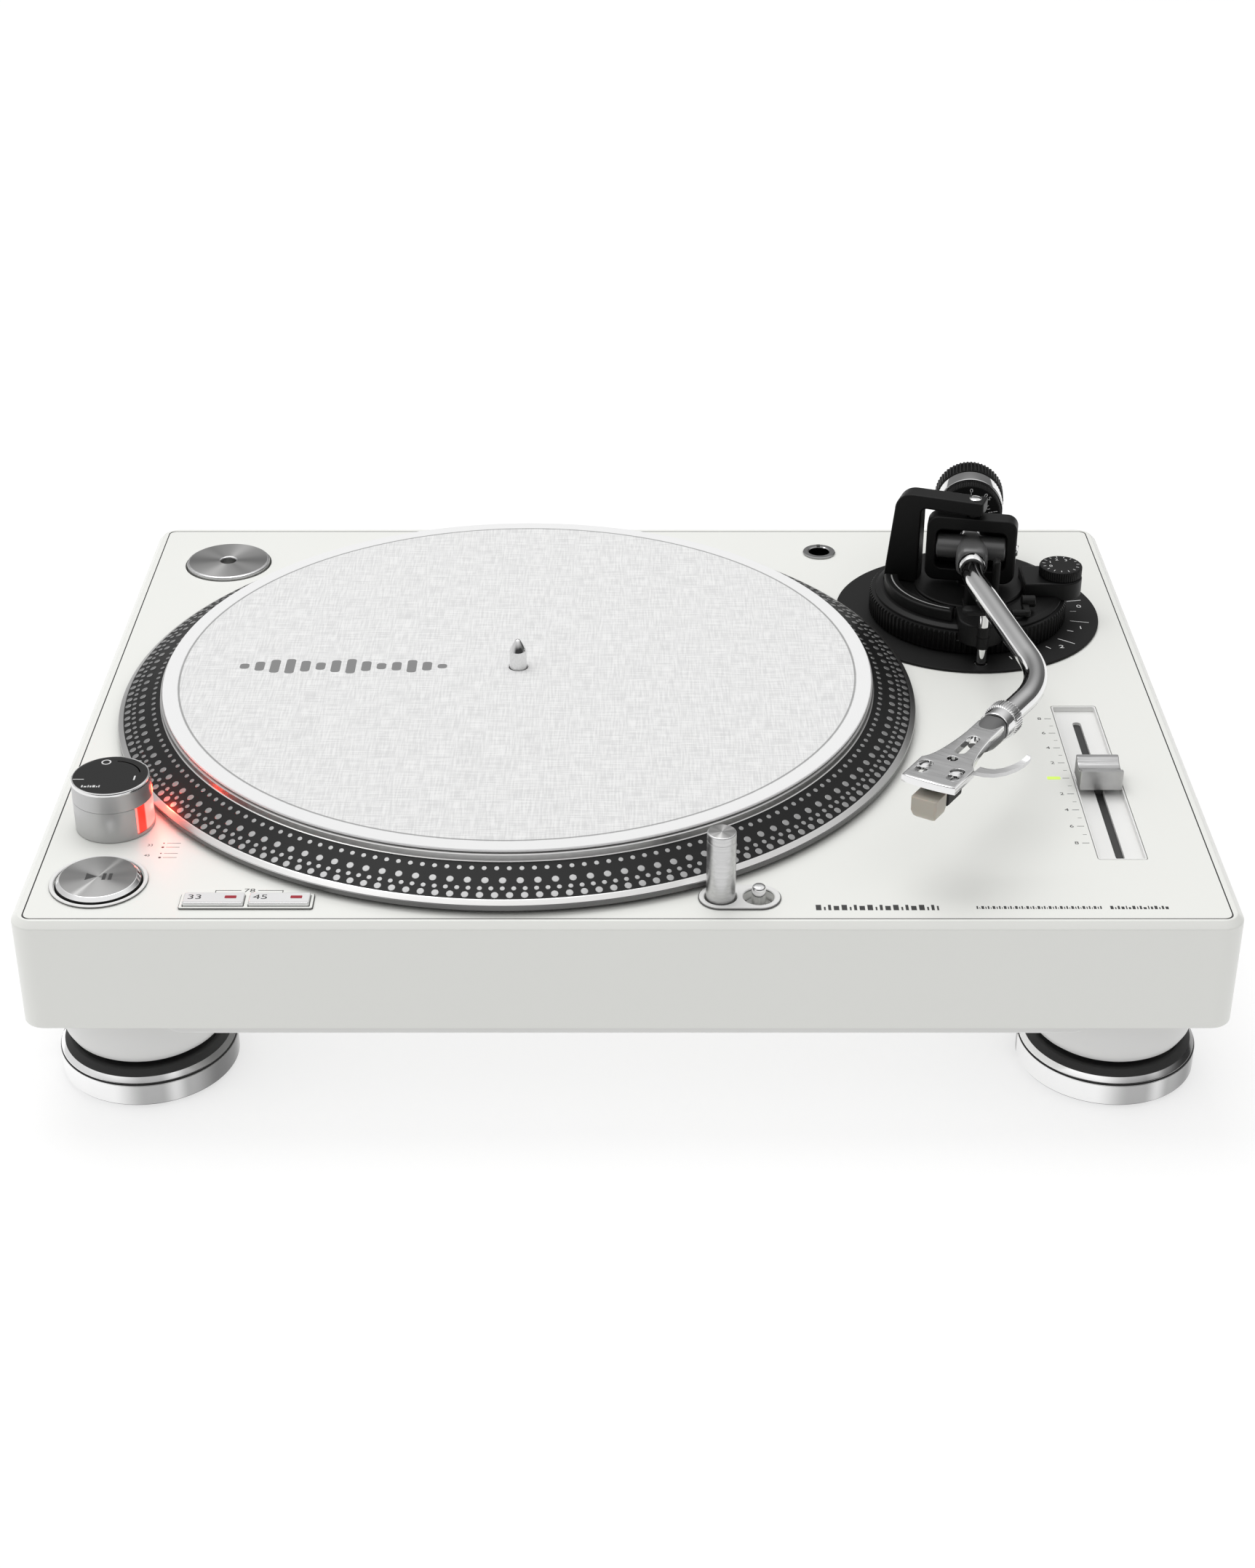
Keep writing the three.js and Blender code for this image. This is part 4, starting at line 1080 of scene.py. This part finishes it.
class TURNTABLE_OT_arm_base(Builder, bpy.types.Operator):
    """Tonearm base: scale disc, height ring, column, anti-skating dial, rest, clamp and lift"""
    bl_idname = "turntable.arm_base"
    bl_label = "Tonearm Base"

    def build(self):
        hub = middle("spindle") - BASE_FRAME.translation
        outline = []
        for x, y in circle(0, 0, 58.6, 240):
            reach = Vector((x - hub.x, y - hub.y))
            if reach.length < 167.2:
                reach = reach.normalized() * 167.2
            outline.append((hub.x + reach.x, hub.y + reach.y))
        form = Form().plate(outline, 0.3, 1.3, [circle(0, 0, 26, 64), circle(0.3, -50.5, 3, 32)],
                            edge=0.4)
        up = Matrix.Translation((0, 0, 1.3))
        for k in range(-3, 10):
            angle = -12.2 * (k - 0.0)
            if -130 < angle < 60:
                inner, outer = ((46.2, 54.5) if k % 2 == 0 else (46.6, 49.4))
                ticks(form, [-angle - 36.6], inner, outer, 0.45, up, 1)
        for words, angle in (("0", 0), ("1", -24.4), ("2", -48.8), ("3", 24.4)):
            form.text(words, 3.0, up @ around(angle + 5.5, 51.6, -angle - 5.5), 1)
        make("arm_base_disc", form, BASE_FRAME, "chassis",
             looks("black_matte", "white_ink"),
             ["arm_base_plate"])

        rim = Form().lathe([(40.8, 1.6), (43.0, 1.6), (43.8, 2.4), (43.8, 10.6), (43.0, 11.5),
                            (40.8, 11.5)],
                           ribs=(sizes().ring_ribs, 0.75, 2, 3))
        make("height_collar_rim", rim, BASE_FRAME, "height_collar", looks("black"),
             ["height_ring"], sharp=40)

        column = Form().lathe([(0, 16.2), (4.6, 16.2), (5, 15.9), (5, 15.3), (23.5, 15.3),
                               (24, 14.8),
                               (24, 13.8), (24.3, 13.5), (38.6, 13.5), (39.6, 13.2), (41.2, 12.3),
                               (41.4, 11.8), (40.3, 11.8), (40.3, 2.4), (25, 2.4), (25, -14),
                               (19, -14),
                               (19, 2.4), (0, 2.4)], 128)
        wall = [*arc(0, 0, 37.5, 174, 252, 32), *arc(0, 0, 31.5, 252, 174, 32)]
        column.plate(wall, 13.4, 18.5, edge=0.9)
        column.plate([*arc(0, 0, 34.8, 177, 249, 32), *arc(0, 0, 34.2, 249, 177, 32)], 18.5, 18.53,
                     edge=0,
                     finish=1)
        bar = [(23.4, -10.8), (40.4, -10.8), *arc(40.4, -1, 9.8, -85, 85, 24), (40.4, 8.8),
               (23.4, 8.8)]
        column.plate(bar, 11.8, 20, [circle(40.4, -1, 2.4, 24)], edge=1.0)
        make("arm_base_column", column, BASE_FRAME, "arm_stand",
             looks("black", "grey_ink"),
             ["arm_base"])

        dial_at = BASE_FRAME @ Matrix.Translation((40.4, -1, 0))
        dial = Form().lathe([(0, 14.4), (2, 14.4), (2, 20.3), (9.3, 20.3), (9.5, 20.6), (9.5, 24.1),
                             (9.3, 24.6), (8.8, 25), (0, 25)], ribs=(56, 0.35, 4, 5))
        cap = Matrix.Translation((0, 0, 25))
        ticks(dial, range(0, 360, 24), 6.9, 8.2, 0.3, cap, 1)
        for k, words in enumerate(("0", "1", "2", "3")):
            dial.text(words, 2.0, cap @ around(200 - 48 * k, 5.0, -200 + 48 * k), 1)
        make("antiskate_knob", dial, dial_at, "skate_dial",
             looks("black_moulding", "white_ink"), ["antiskate_dial"], sharp=40)

        self.rest()

    def rest(self):
        bore = circle(0.3, -50.5, 2.6, 32)
        form = Form().plate([*arc(0.3, -41.5, 9.6, 180, 360, 40), (9.9, -30), (-9.3, -30)], 13.8,
                            18.5, [bore],
                            edge=0.8)
        form.plate([*arc(0.3, -41.5, 9.6, 191.4, 348.6, 32), *arc(0, 0, 44.4, -77.4, -101.9, 12)],
                   8.5, 13.9,
                   [bore], edge=0, foot=0.6)
        form.plate(rounded_box(-5.5, 13.5, -35, -19, 2, 6), 15.7, 17.4, edge=0.4)
        form.plate(rounded_box(-4.5, 5.3, -27, -19, 1.2, 6), 15.8, 26.1, edge=0.9)
        make("arm_rest_bracket", form, BASE_FRAME, "arm_stand",
             looks("black_moulding"),
             ["arm_rest"])
        blade = Form().plate(rounded_box(6.8, 9.8, -26, -20, 1.3, 8), 19, 37.4, edge=1.1, foot=0.6)
        make("arm_clamp_blade", blade, BASE_FRAME, "clamp",
             looks("black_moulding"),
             ["arm_clamp"])
        lift = Form().sweep([(0.3, -50.5, -6), (0.3, -50.5, 25.2)], 2.2, 32, finish=0)
        lift.plate(rounded_box(-9.2, 8.3, -53.5, -47.5, 2.6, 8), 24.9, 27.5, edge=1.0, foot=0.4,
                   finish=1)
        make("cue_lift_bar", lift, BASE_FRAME, "lift", looks("chrome", "black_moulding"),
             ["cue_lift"])
        lever = Form().sweep([(15.1, -32, 16), (21.7, -32, 16)], 1.6, 24)
        lever.plate(rounded_box(20.3, 23.3, -33.5, -24, 1.2, 6), 14.6, 17.4, edge=0.5, foot=0.4)
        lever.sweep([(20.3, -23.4, 17.6), (20.6, -23.4, 17.6), (26.0, -23.4, 17.6),
                     (26.3, -23.4, 17.6)],
                    [2.3, 2.6, 2.6, 2.3], 32, 1)
        make("cue_lever_arm", lever, BASE_FRAME, "lever",
             looks("black_moulding", "black"),
             ["cue_lever"])


class TURNTABLE_OT_bearing(Builder, bpy.types.Operator):
    """Yoke and gimbal: the frames that the tonearm swings and tilts in"""
    bl_idname = "turntable.bearing"
    bl_label = "Yoke And Gimbal"

    def build(self):
        at = Matrix.Translation(PIVOT) @ Matrix.Rotation(math.radians(-20), 4, "Z")
        bottom = DECK + 13.8 - PIVOT.z
        outline = [(-38.2, bottom), (-22.6, bottom), (-22.6, 14.4),
                   *arc(-20.1, 14.4, 2.5, 180, 90, 8), (4.4, 16.9),
                   *arc(4.2, 17.7, 0.8, -90, 0, 4), *arc(4.2, 22.2, 0.8, 0, 90, 4),
                   *arc(-26.6, 15, 8, 90, 180, 16)]
        yoke = Form().plate(outline, -4.8, 4.8, edge=0.9, foot=0.9, rim=4)
        make("arm_yoke_frame", yoke, at @ FLAT, "arm_stand", looks("black"),
             ["arm_yoke"])
        screw = slotted_screw(2.7, 0.9)
        make("yoke_screw", screw, at @ Matrix.Translation((0.4, 0, 23)), "arm_stand",
             looks("chrome", "ink"))
        ring = Form().plate(rounded_box(-19.8, 19.8, -15.2, 15.2, 5, 12), -4.5, 4.5,
                            [rounded_box(-15.5, 15.5, -9.4, 9.4, 3, 8)], edge=0.9, foot=0.9,
                            hole_edge=0.5,
                            rim=4)
        ring.plate(rounded_box(-16, 16, -10, 10, 1, 4), -4.4, -3.4, [circle(0, 0, 7.4, 48)], edge=0,
                   hole_edge=0)
        upright = FLAT.inverted()
        for z0, z1 in ((15, 16.5), (-16.5, -15)):
            post = Form().lathe([(0, z0), (3, z0), (3, z1), (0, z1)], 40)
            ring.add(post, upright)
        make("gimbal_frame", ring, SWING_FRAME @ FLAT, "gimbal", looks("black"),
             ["gimbal_ring"])
        side = SWING_FRAME @ Matrix.Translation((19.8, 0, 0)) @ Matrix.Rotation(math.pi / 2, 4, "Y")
        make("gimbal_screw", slotted_screw(2.6, 0.8), side, "gimbal",
             looks("chrome", "ink"))


class TURNTABLE_OT_arm(Builder, bpy.types.Operator):
    """Tonearm: bearing block, S-shaped tube with its collar, and the rear shaft"""
    bl_idname = "turntable.arm"
    bl_label = "Tonearm"

    def build(self):
        across = BEAM_FRAME.inverted().to_3x3() @ ACROSS
        form = Form().sweep([across * reach for reach in (-15.2, -14.7, 14.7, 15.2)],
                            [4.9, 5.4, 5.4, 4.9], 48)
        rings = []
        for forward, wide, tall in ((-9, 3.6, 3.6), (-8, 4.2, 4.2), (-3, 5.4, 5.6), (3, 5.6, 5.8),
                                    (7, 6.2, 6.4),
                                    (12, 7.1, 7.1), (17, 7.1, 7.1), (19.1, 6.4, 6.4),
                                    (19.6, 5.8, 5.8)):
            loop = []
            for k in range(48):
                a = TURN * k / 48
                c, s = math.cos(a), math.sin(a)
                reach = (abs(c) ** 3.4 + abs(s) ** 3.4) ** (-1 / 3.4)
                loop.append((wide * reach * c * 0.97, -forward, tall * reach * s * 0.97))
            rings.append(loop)
        form.loft(rings)
        form.sweep([(0, 7, 0), (0, 69.4, 0), (0, 70, 0)], [4.2, 4.2, 3.7], 40, 1)
        make("bearing_block", form, BEAM_FRAME, "arm", looks("grey", "dark_chrome"),
             ["arm_pivot_block"])

        nut, elbow = (8.0, -174.3, 0.0), (26.8, -134.9, 0.0)
        corner = (0.0, -35.0, 0.0)

        def toward(a, b, reach):
            step = Vector(b) - Vector(a)
            return tuple(Vector(a) + step.normalized() * reach)

        path = [(0, -19.7, 0), (0, -22, 0), toward(corner, (0, 0, 0), 9)]
        path += bend(path[-1], corner, toward(corner, elbow, 9), 14)
        path += [toward(elbow, corner, 22)]
        path += bend(path[-1], elbow, toward(elbow, nut, 22), 20)
        path += [nut]
        tube = Form().sweep(path, 4.8, 48)
        collar = Form().lathe([(4.9, -19.9), (5.6, -19.9), (5.95, -20.6), (6.0, -21.6),
                               (5.8, -23.2),
                               (5.4, -24.6), (4.9, -25.2), (4.7, -25.2)], 64)
        collar.lathe([(4.7, -26.0, 1), (5.1, -26.0), (5.2, -26.3), (5.2, -27.2), (5.1, -27.5),
                      (4.7, -27.5)], 64)
        tube.add(collar, Matrix.Rotation(-math.pi / 2, 4, "X"))
        make("arm_tube_s", tube, BEAM_FRAME, "arm", looks("chrome", "rubber"),
             ["arm_tube"],
             sharp=40)


class TURNTABLE_OT_weight(Builder, bpy.types.Operator):
    """Counterweight on its threaded bush, with the stylus pressure dial in front"""
    bl_idname = "turntable.weight"
    bl_label = "Counterweight"

    def build(self):
        bush = Form().lathe([(4.5, 40), (6.8, 40), (7, 40.3), (7, 65.7), (6.8, 66), (4.5, 66)], 64)
        make("weight_bush_sleeve", bush, ALONG_BEAM, "bush", looks("steel"),
             ["weight_bush"])
        form = Form().lathe([(7.3, 44), (14.7, 44), (15.1, 44.3), (15.2, 44.8), (15.2, 53.4),
                             (14.9, 53.9),
                             (14.5, 54.1, 1), (14.5, 54.9), (14.9, 55.3)], 128, looped=False)
        form.lathe([(14.0, 55.0, 1), (15.2, 55.0), (15.7, 55.6), (15.7, 65.4), (15.0, 66.4),
                    (12.6, 66.4),
                    (12.2, 65.8), (7.3, 65.8), (7.3, 55.0)], ribs=(sizes().weight_ribs, 0.9, 2, 3))
        make("counterweight_body", form, ALONG_BEAM, "weight", looks("chrome", "black"),
             ["counterweight"], sharp=40)
        dial = Form().lathe([(7.3, 38.6), (13.2, 38.6), (13.7, 38.8), (14.2, 39.4), (14.2, 43.0),
                             (13.8, 43.7),
                             (7.3, 43.7)], ribs=(110, 0.5, 3, 4))
        face = ALONG_BEAM.inverted() @ BEAM_FRAME @ FLAT @ Matrix.Translation((0, 0, -38.6))
        ticks(dial, range(0, 360, 10), 8.4, 9.6, 0.25, face, 1)
        ticks(dial, range(10, 370, 40), 8.4, 10.4, 0.35, face, 1)
        for k, words in enumerate(("0", "0.5", "1", "1.5", "2", "2.5", "3", "3.5", "4")):
            spin = face @ Matrix.Rotation(math.radians(-40 * k), 4,
                                          "Z") @ Matrix.Translation((0, 11.6, 0))
            dial.text(words, 1.9, spin, 1)
        make("pressure_ring", dial, ALONG_BEAM, "force_dial",
             looks("black_moulding", "white_ink"), ["pressure_dial"], sharp=40)


class TURNTABLE_OT_headshell(Builder, bpy.types.Operator):
    """Headshell with its lock nut, finger lift, cartridge and stylus"""
    bl_idname = "turntable.headshell"
    bl_label = "Headshell"

    def build(self):
        nut = Form().lathe([(5.1, 6), (6.4, 6), (7, 5.4), (7, 0.6), (6.4, 0), (6.3, -0.4),
                            (6.2, -5.2),
                            (5.9, -5.6), (5.1, -5.6)], ribs=(44, 0.45, 2, 3))
        make("headshell_nut", nut, ALONG_HEAD, "nut", looks("chrome"), ["lock_nut"],
             sharp=40)

        half, neck = 10.7, 5.2
        front = (-half, -64.2)
        outline = [front, *bend(front, (0, -66), (half, -64.2), 12), (half, -47.5), (8.8, -44.5),
                   *bend((8.8, -44.5), (6, -36), (neck, -20), 10), (neck, -8.5), (-neck, -8.5),
                   (-neck, -20),
                   *bend((-neck, -20), (-6, -36), (-8.8, -44.5), 10), (-half, -47.5)]
        slots = [rounded_box(x - 2.1, x + 2.1, low, high, 2.05, 8)
                 for x, low, high in ((0, -38.5, -22.5), (-6.35, -59.5, -49.5),
                                      (6.35, -59.5, -49.5))]
        slots.append(circle(0, -43.5, 1.9, 32))
        shell = Form().plate(outline, 0.6, 3.6, slots, edge=0.7, hole_edge=0.3, rim=2,
                             edge_finish=1)
        neck_rings = []
        for forward, wide, low, high in ((6, 5.4, -5.4, 5.4), (9, 5.6, -5.6, 5.4),
                                         (15, 5.4, -5.2, 3.8),
                                         (20, 4.9, -4.0, 3.5), (26, 4.4, -1.0, 3.3),
                                         (30, 4.2, 0.5, 3.2)):
            mid, tall = (low + high) / 2, (high - low) / 2
            loop = []
            for k in range(40):
                c, s = math.cos(TURN * k / 40), math.sin(TURN * k / 40)
                reach = (abs(c) ** 3 + abs(s) ** 3) ** (-1 / 3)
                loop.append((wide * reach * c * 0.94, -forward, mid + tall * reach * s * 0.94))
            neck_rings.append(loop)
        shell.add(Form().loft(neck_rings[:4]), finish=2)
        shell.sweep([(0, 6.2, 0), (0, 2, 0), (0, -7, 0)], 4.4, 32, 2)
        make("headshell_plate", shell, HEAD_FRAME, "arm",
             looks("head_satin", "chrome", "grey"), ["headshell"], sharp=30)
        for name, x, turn in (("left", -6.35, 70), ("right", 6.35, 40)):
            at = HEAD_FRAME @ Matrix.Translation((x, -54.5,
                                                  3.6)) @ Matrix.Rotation(math.radians(turn), 4,
                                                                          "Z")
            make(f"cartridge_screw_{name}", slotted_screw(2.5, 1.5), at, "arm",
                 looks("chrome", "ink"))

        rings = []
        for x, y, up, wide, turn in ((10.4, -44.2, 1.6, 5.0, -4), (13.5, -44.0, 1.6, 4.7, 4),
                                     (16.6, -42.8, 1.7, 4.2, 22),
                                     (19.4, -40.3, 2.0, 3.7, 42), (21.7, -36.8, 2.5, 3.2, 58),
                                     (23.4, -33.4, 3.3, 2.8, 66), (24.3, -31.2, 4.3, 2.5, 68),
                                     (24.6, -30.4, 5.2, 2.3, 70)):
            a = math.radians(turn + 90)
            across = Vector((math.cos(a), math.sin(a), 0)) * (wide / 2)
            spot = Vector((x, y, up))
            thick = Vector((0, 0, 0.75))
            rings.append([spot - across - thick, spot + across - thick, spot + across * 0.9 + thick,
                          spot - across * 0.9 + thick])
        make("finger_lift_blade", Form().loft(rings), HEAD_FRAME, "arm",
             looks("head_satin"), ["finger_lift"], sharp=50)

        body = Form().plate(rounded_box(-7.6, 7.6, -61, -46, 1.2, 5), -1.0, 0.3, edge=0.3, foot=0.3,
                            finish=1)
        body.plate(rounded_box(-5.2, 5.2, -57, -44, 1.2, 5), -9.4, -0.9, edge=0, foot=1.0)
        make("cartridge_body", body, HEAD_FRAME, "arm",
             looks("black_moulding", "satin"),
             ["cartridge"])
        tip = Form().loft([[(x * wide, -62.35 + y * deep + lean, up)
                            for x, y in rounded_box(-1, 1, -1, 1, 0.22, 4)]
                           for up, wide, deep, lean in ((-2.8, 4.9, 4.85, 0.0),
                                                        (-3.0, 5.1, 5.05, 0.0),
                                                        (-8.4, 5.1, 5.0, 0.0),
                                                        (-10.6, 4.6, 4.4, 0.4),
                                                        (-11.6, 3.9, 3.7, 0.8))])
        cone = Form().lathe([(0, -12.9), (0.12, -12.8), (0.4, -11.9), (0.8, -11.5), (0, -11.5)], 24)
        tip.add(cone, Matrix.Translation((0, -62, 0)), 1)
        make("stylus_unit", tip, HEAD_FRAME, "arm", looks("ivory", "chrome"),
             ["stylus"],
             sharp=40)


class TURNTABLE_OT_rear(Builder, bpy.types.Operator):
    """Terminals at the back and finishes for the parts inside"""
    bl_idname = "turntable.rear"
    bl_label = "Rear And Inside"

    def build(self):
        _, high = low_high("phono_jacks")
        spot, face = middle("phono_jacks"), high.y - JACK_REACH
        at = Matrix.Translation((spot.x, face, spot.z)) @ Matrix.Rotation(-math.pi / 2, 4, "X")
        jacks = Form().plate(rounded_box(-16, 16, -7.2, 7.2, 1, 4), -15, 0.5, edge=0.3, finish=0)
        for x, finish in ((-8, 2), (8, 3)):
            jack = Form().lathe([(4.1, 0.4, finish), (4.1, 1.6, 1), (3.9, 1.9), (3.9, 8.0),
                                 (3.6, 8.6),
                                 (1.8, 8.6, finish), (1.6, 4.0), (0, 4.0)], 48, looped=False)
            jacks.add(jack, Matrix.Translation((x, 0, 0)))
        make("output_jacks", jacks, at, "chassis",
             looks("black_moulding", "chrome", "led_red", "white_ink"), ["phono_jacks"], sharp=40)
        low, high = low_high("ground_terminal")
        spot = middle("ground_terminal")
        at = Matrix.Translation((spot.x, high.y - 6.5, spot.z)) @ Matrix.Rotation(-math.pi / 2, 4,
                                                                                  "X")
        post = Form().lathe([(0, -11), (2, -11), (2, 1), (3.8, 1), (4, 1.3), (4, 6.0), (3.7, 6.5),
                             (0, 6.5)],
                            ribs=(28, 0.35, 4, 5))
        make("ground_post", post, at, "chassis", looks("chrome"), ["ground_terminal"],
             sharp=40)
        for node, name in (("rear_panel", "black_moulding"), ("ac_inlet", "black_matte"),
                           ("usb_port", "steel"),
                           ("output_switch", "grey"), ("main_board", "board"),
                           ("power_transformer", "steel"),
                           ("motor_stator", "copper"), ("bearing_housing", "steel"),
                           ("rotor_magnet", "magnet"),
                           ("fader_track", "steel")):
            shown = frame["nodes"][node]
            shown.data.materials.clear()
            shown.data.materials.append(look(name))
            soft = shown.modifiers.new("soft edges", "BEVEL")
            soft.width, soft.segments, soft.limit_method = 0.3 * MM, 2, "ANGLE"


class TURNTABLE_OT_marks(Builder, bpy.types.Operator):
    """Printed deck marks: numbers, ticks and plain symbols"""
    bl_idname = "turntable.marks"
    bl_label = "Deck Marks"

    def build(self):
        form, thick = Form(), sizes().print_up
        top = DECK
        strokes(form, 68.8, 113.7, -163.9, 3.6, (0.55, 0.18, 0.3, 0.55), top)
        strokes(form, 127.5, 173.4, -163.9, 1.9, (0.3, 0.12, 0.5, 0.2), top)
        strokes(form, 176.4, 198, -163.9, 2.2, (0.5, 0.2, 0.35), top)
        for x0, x1, y0, y1 in ((-152.1, -142.6, -152.45, -152.15),
                               (-136.4, -127.0, -152.45, -152.15),
                               (-152.1, -151.8, -155, -152.15), (-127.3, -127.0, -155, -152.15)):
            flat_bar(form, x0, x1, y0, y1, top, top + thick)
        form.text("78", 2.4, Matrix.Translation((-139.5, -152.4, top)), 0, thick, 1.3)
        for y, words in ((-120.2, "33"), (-127.6, "45")):
            form.text(words, 1.5, Matrix.Translation((-181.6, y, top)), 0, thick, 1.1)
            for k in range(2):
                dot = Form().plate(circle(-176.6, y + 1.5 - 3.0 * k, 0.35 + 0.2 * k, 16), top,
                                   top + thick, edge=0)
                form.add(dot)
                flat_bar(form, -175.4, -170.2, y + 1.4 - 3.0 * k, y + 1.62 - 3.0 * k, top,
                         top + thick)
        numbers = ("8", "6", "4", "2", "", "2", "4", "6", "8")
        for k, words in enumerate(numbers):
            y = -19.2 - 12.42 * k
            flat_bar(form, 173.3, 176.0, y - 0.15, y + 0.15, top, top + thick)
            if words:
                form.text(words, 2.1, Matrix.Translation((171.2, y, top)), 0, thick, 1.2)
            if k < 8:
                flat_bar(form, 174.5, 176.0, y - 6.21 - 0.1, y - 6.21 + 0.1, top, top + thick)
        make("deck_marks", form, Matrix.Identity(4), "chassis", looks("ink"))
        lamp = Form().plate(rounded_box(167.2, 172.5, -69.9, -67.7, 0.5, 4), top, top + 0.12,
                            edge=0.06)
        make("zero_pitch_lamp", lamp, Matrix.Identity(4), "chassis", looks("led_green"))


# ---- stage --------------------------------------------------------------------------------------
class TURNTABLE_OT_stage(Builder, bpy.types.Operator):
    """White sweep, soft overhead light, the surroundings that chrome reflects, and the camera"""
    bl_idname = "turntable.stage"
    bl_label = "Stage"

    def build(self):
        scene, finish = bpy.context.scene, tuning()
        shade = Look("white_floor")
        drift = shade.noise(1.5)
        shade.finish({"Base Color": drift.mix(rgb(0.40), rgb(0.42)), "Roughness": 0.9,
                      "Specular IOR Level": 0.0, "Emission Color": rgb(1.0),
                      "Emission Strength": finish.floor_glow})
        mesh = bpy.data.meshes.new("floor")
        mesh.from_pydata([(-9, -6, 0), (9, -6, 0), (9, 16, 0), (-9, 16, 0)], [], [(0, 1, 2, 3)])
        mesh.materials.append(shade.material)
        floor = bpy.data.objects.new("floor", mesh)

        lamp = bpy.data.lights.new("overhead", "AREA")
        lamp.shape, lamp.size, lamp.size_y, lamp.energy = "RECTANGLE", 1.4, 0.9, 11.5
        overhead = bpy.data.objects.new("overhead", lamp)
        overhead.location = (-0.35, 0.5, 1.9)
        overhead.rotation_euler = (math.radians(-14), math.radians(-10), 0)
        glow_light = bpy.data.lights.new("strobe", "POINT")
        glow_light.color, glow_light.energy = (1.0, 0.06, 0.03), finish.strobe_glow
        glow_light.shadow_soft_size = 0.002
        tower = middle("power_dial")
        strobe = bpy.data.objects.new("strobe", glow_light)
        turn = math.radians(24)
        strobe.location = Vector((tower.x + 17.6 * math.cos(turn), tower.y + 17.6 * math.sin(turn),
                                  DECK + 11.5)) * MM

        view = bpy.data.cameras.new("camera")
        view.lens, view.sensor_width, view.sensor_fit = LENS, SENSOR, "AUTO"
        view.clip_start, view.clip_end = 0.05, 60
        camera = bpy.data.objects.new("camera", view)
        camera.location = (0, -CAMERA_BACK, DECK * MM + CAMERA_UP)
        camera.rotation_euler = (math.radians(CAMERA_PITCH), 0, 0)
        for thing in (floor, overhead, strobe, camera):
            scene.collection.objects.link(thing)
        scene.camera = camera
        scene.render.resolution_x, scene.render.resolution_y = 1725, 2156
        scene.render.engine = "CYCLES"
        scene.view_settings.view_transform = "Standard"
        self.surroundings(scene, finish)

    @staticmethod
    def surroundings(scene, finish):
        """Bright overhead, dim low down, and a few dark and bright patches for metal to mirror."""
        world = bpy.data.worlds.new("surroundings")
        world.use_nodes = True
        scene.world = world
        shade = Look.__new__(Look)
        shade.material, shade.nodes, shade.links = world, world.node_tree.nodes, world.node_tree.links
        shade.nodes.clear()
        ray = shade.add("TexCoord", out="Generated")
        split = shade.add("SeparateXYZ", {}, {0: ray})
        x, y, z = (Value(shade, split.socket.node.outputs[k]) for k in range(3))
        up = z.between(0.22, 0.92)
        front = (y * -1).between(0.2, 0.9) * (1 - z.between(0.3, 0.9))
        level = finish.horizon + up * (finish.sky - finish.horizon)
        left = (x * -1).between(0.2, 0.9) * (1 - z.between(0.2, 0.7))
        right = x.between(0.1, 0.8) * (1 - z.between(0.3, 0.8))
        level = (level + left * 0.5 - right * 0.1 - front * 0.36).math("MAXIMUM", 0.05)
        background = shade.add("Background", {}, {"Color": level.mix(rgb(0.0), rgb(1.0)),
                                                  "Strength": 1.0})
        shade.add("OutputWorld", {}, {"Surface": background})


# ---- add-on -------------------------------------------------------------------------------------
STEPS = (TURNTABLE_OT_plinth, TURNTABLE_OT_base, TURNTABLE_OT_feet, TURNTABLE_OT_platter,
         TURNTABLE_OT_slipmat, TURNTABLE_OT_start, TURNTABLE_OT_speed, TURNTABLE_OT_lamp,
         TURNTABLE_OT_dial, TURNTABLE_OT_fader, TURNTABLE_OT_adapter, TURNTABLE_OT_arm_base,
         TURNTABLE_OT_bearing, TURNTABLE_OT_arm, TURNTABLE_OT_weight, TURNTABLE_OT_headshell,
         TURNTABLE_OT_rear, TURNTABLE_OT_marks, TURNTABLE_OT_stage)


class TURNTABLE_PT_panel(bpy.types.Panel):
    """Settings and build steps in the sidebar"""
    bl_label = "Turntable"
    bl_idname = "TURNTABLE_PT_panel"
    bl_space_type = "VIEW_3D"
    bl_region_type = "UI"
    bl_category = "Turntable"

    def draw(self, context):
        for group in (context.scene.turntable_sizes, context.scene.turntable_finish):
            box = self.layout.box()
            for key in group.__annotations__:
                box.prop(group, key)
        column = self.layout.column(align=True)
        for step in STEPS:
            column.operator(step.bl_idname)


CLASSES = (TurntableSizes, TurntableFinish, *STEPS, TURNTABLE_PT_panel)


def register():
    for kind in CLASSES:
        bpy.utils.register_class(kind)
    bpy.types.Scene.turntable_sizes = PointerProperty(type=TurntableSizes)
    bpy.types.Scene.turntable_finish = PointerProperty(type=TurntableFinish)


def unregister():
    del bpy.types.Scene.turntable_finish
    del bpy.types.Scene.turntable_sizes
    for kind in reversed(CLASSES):
        bpy.utils.unregister_class(kind)


def main():
    register()
    ops = bpy.ops.turntable
    ops.plinth()
    ops.base()
    ops.feet()
    ops.platter()
    ops.slipmat()
    ops.start()
    ops.speed()
    ops.lamp()
    ops.dial()
    ops.fader()
    ops.adapter()
    ops.arm_base()
    ops.bearing()
    ops.arm()
    ops.weight()
    ops.headshell()
    ops.rear()
    ops.marks()
    ops.stage()


if __name__ == "__main__":
    main()
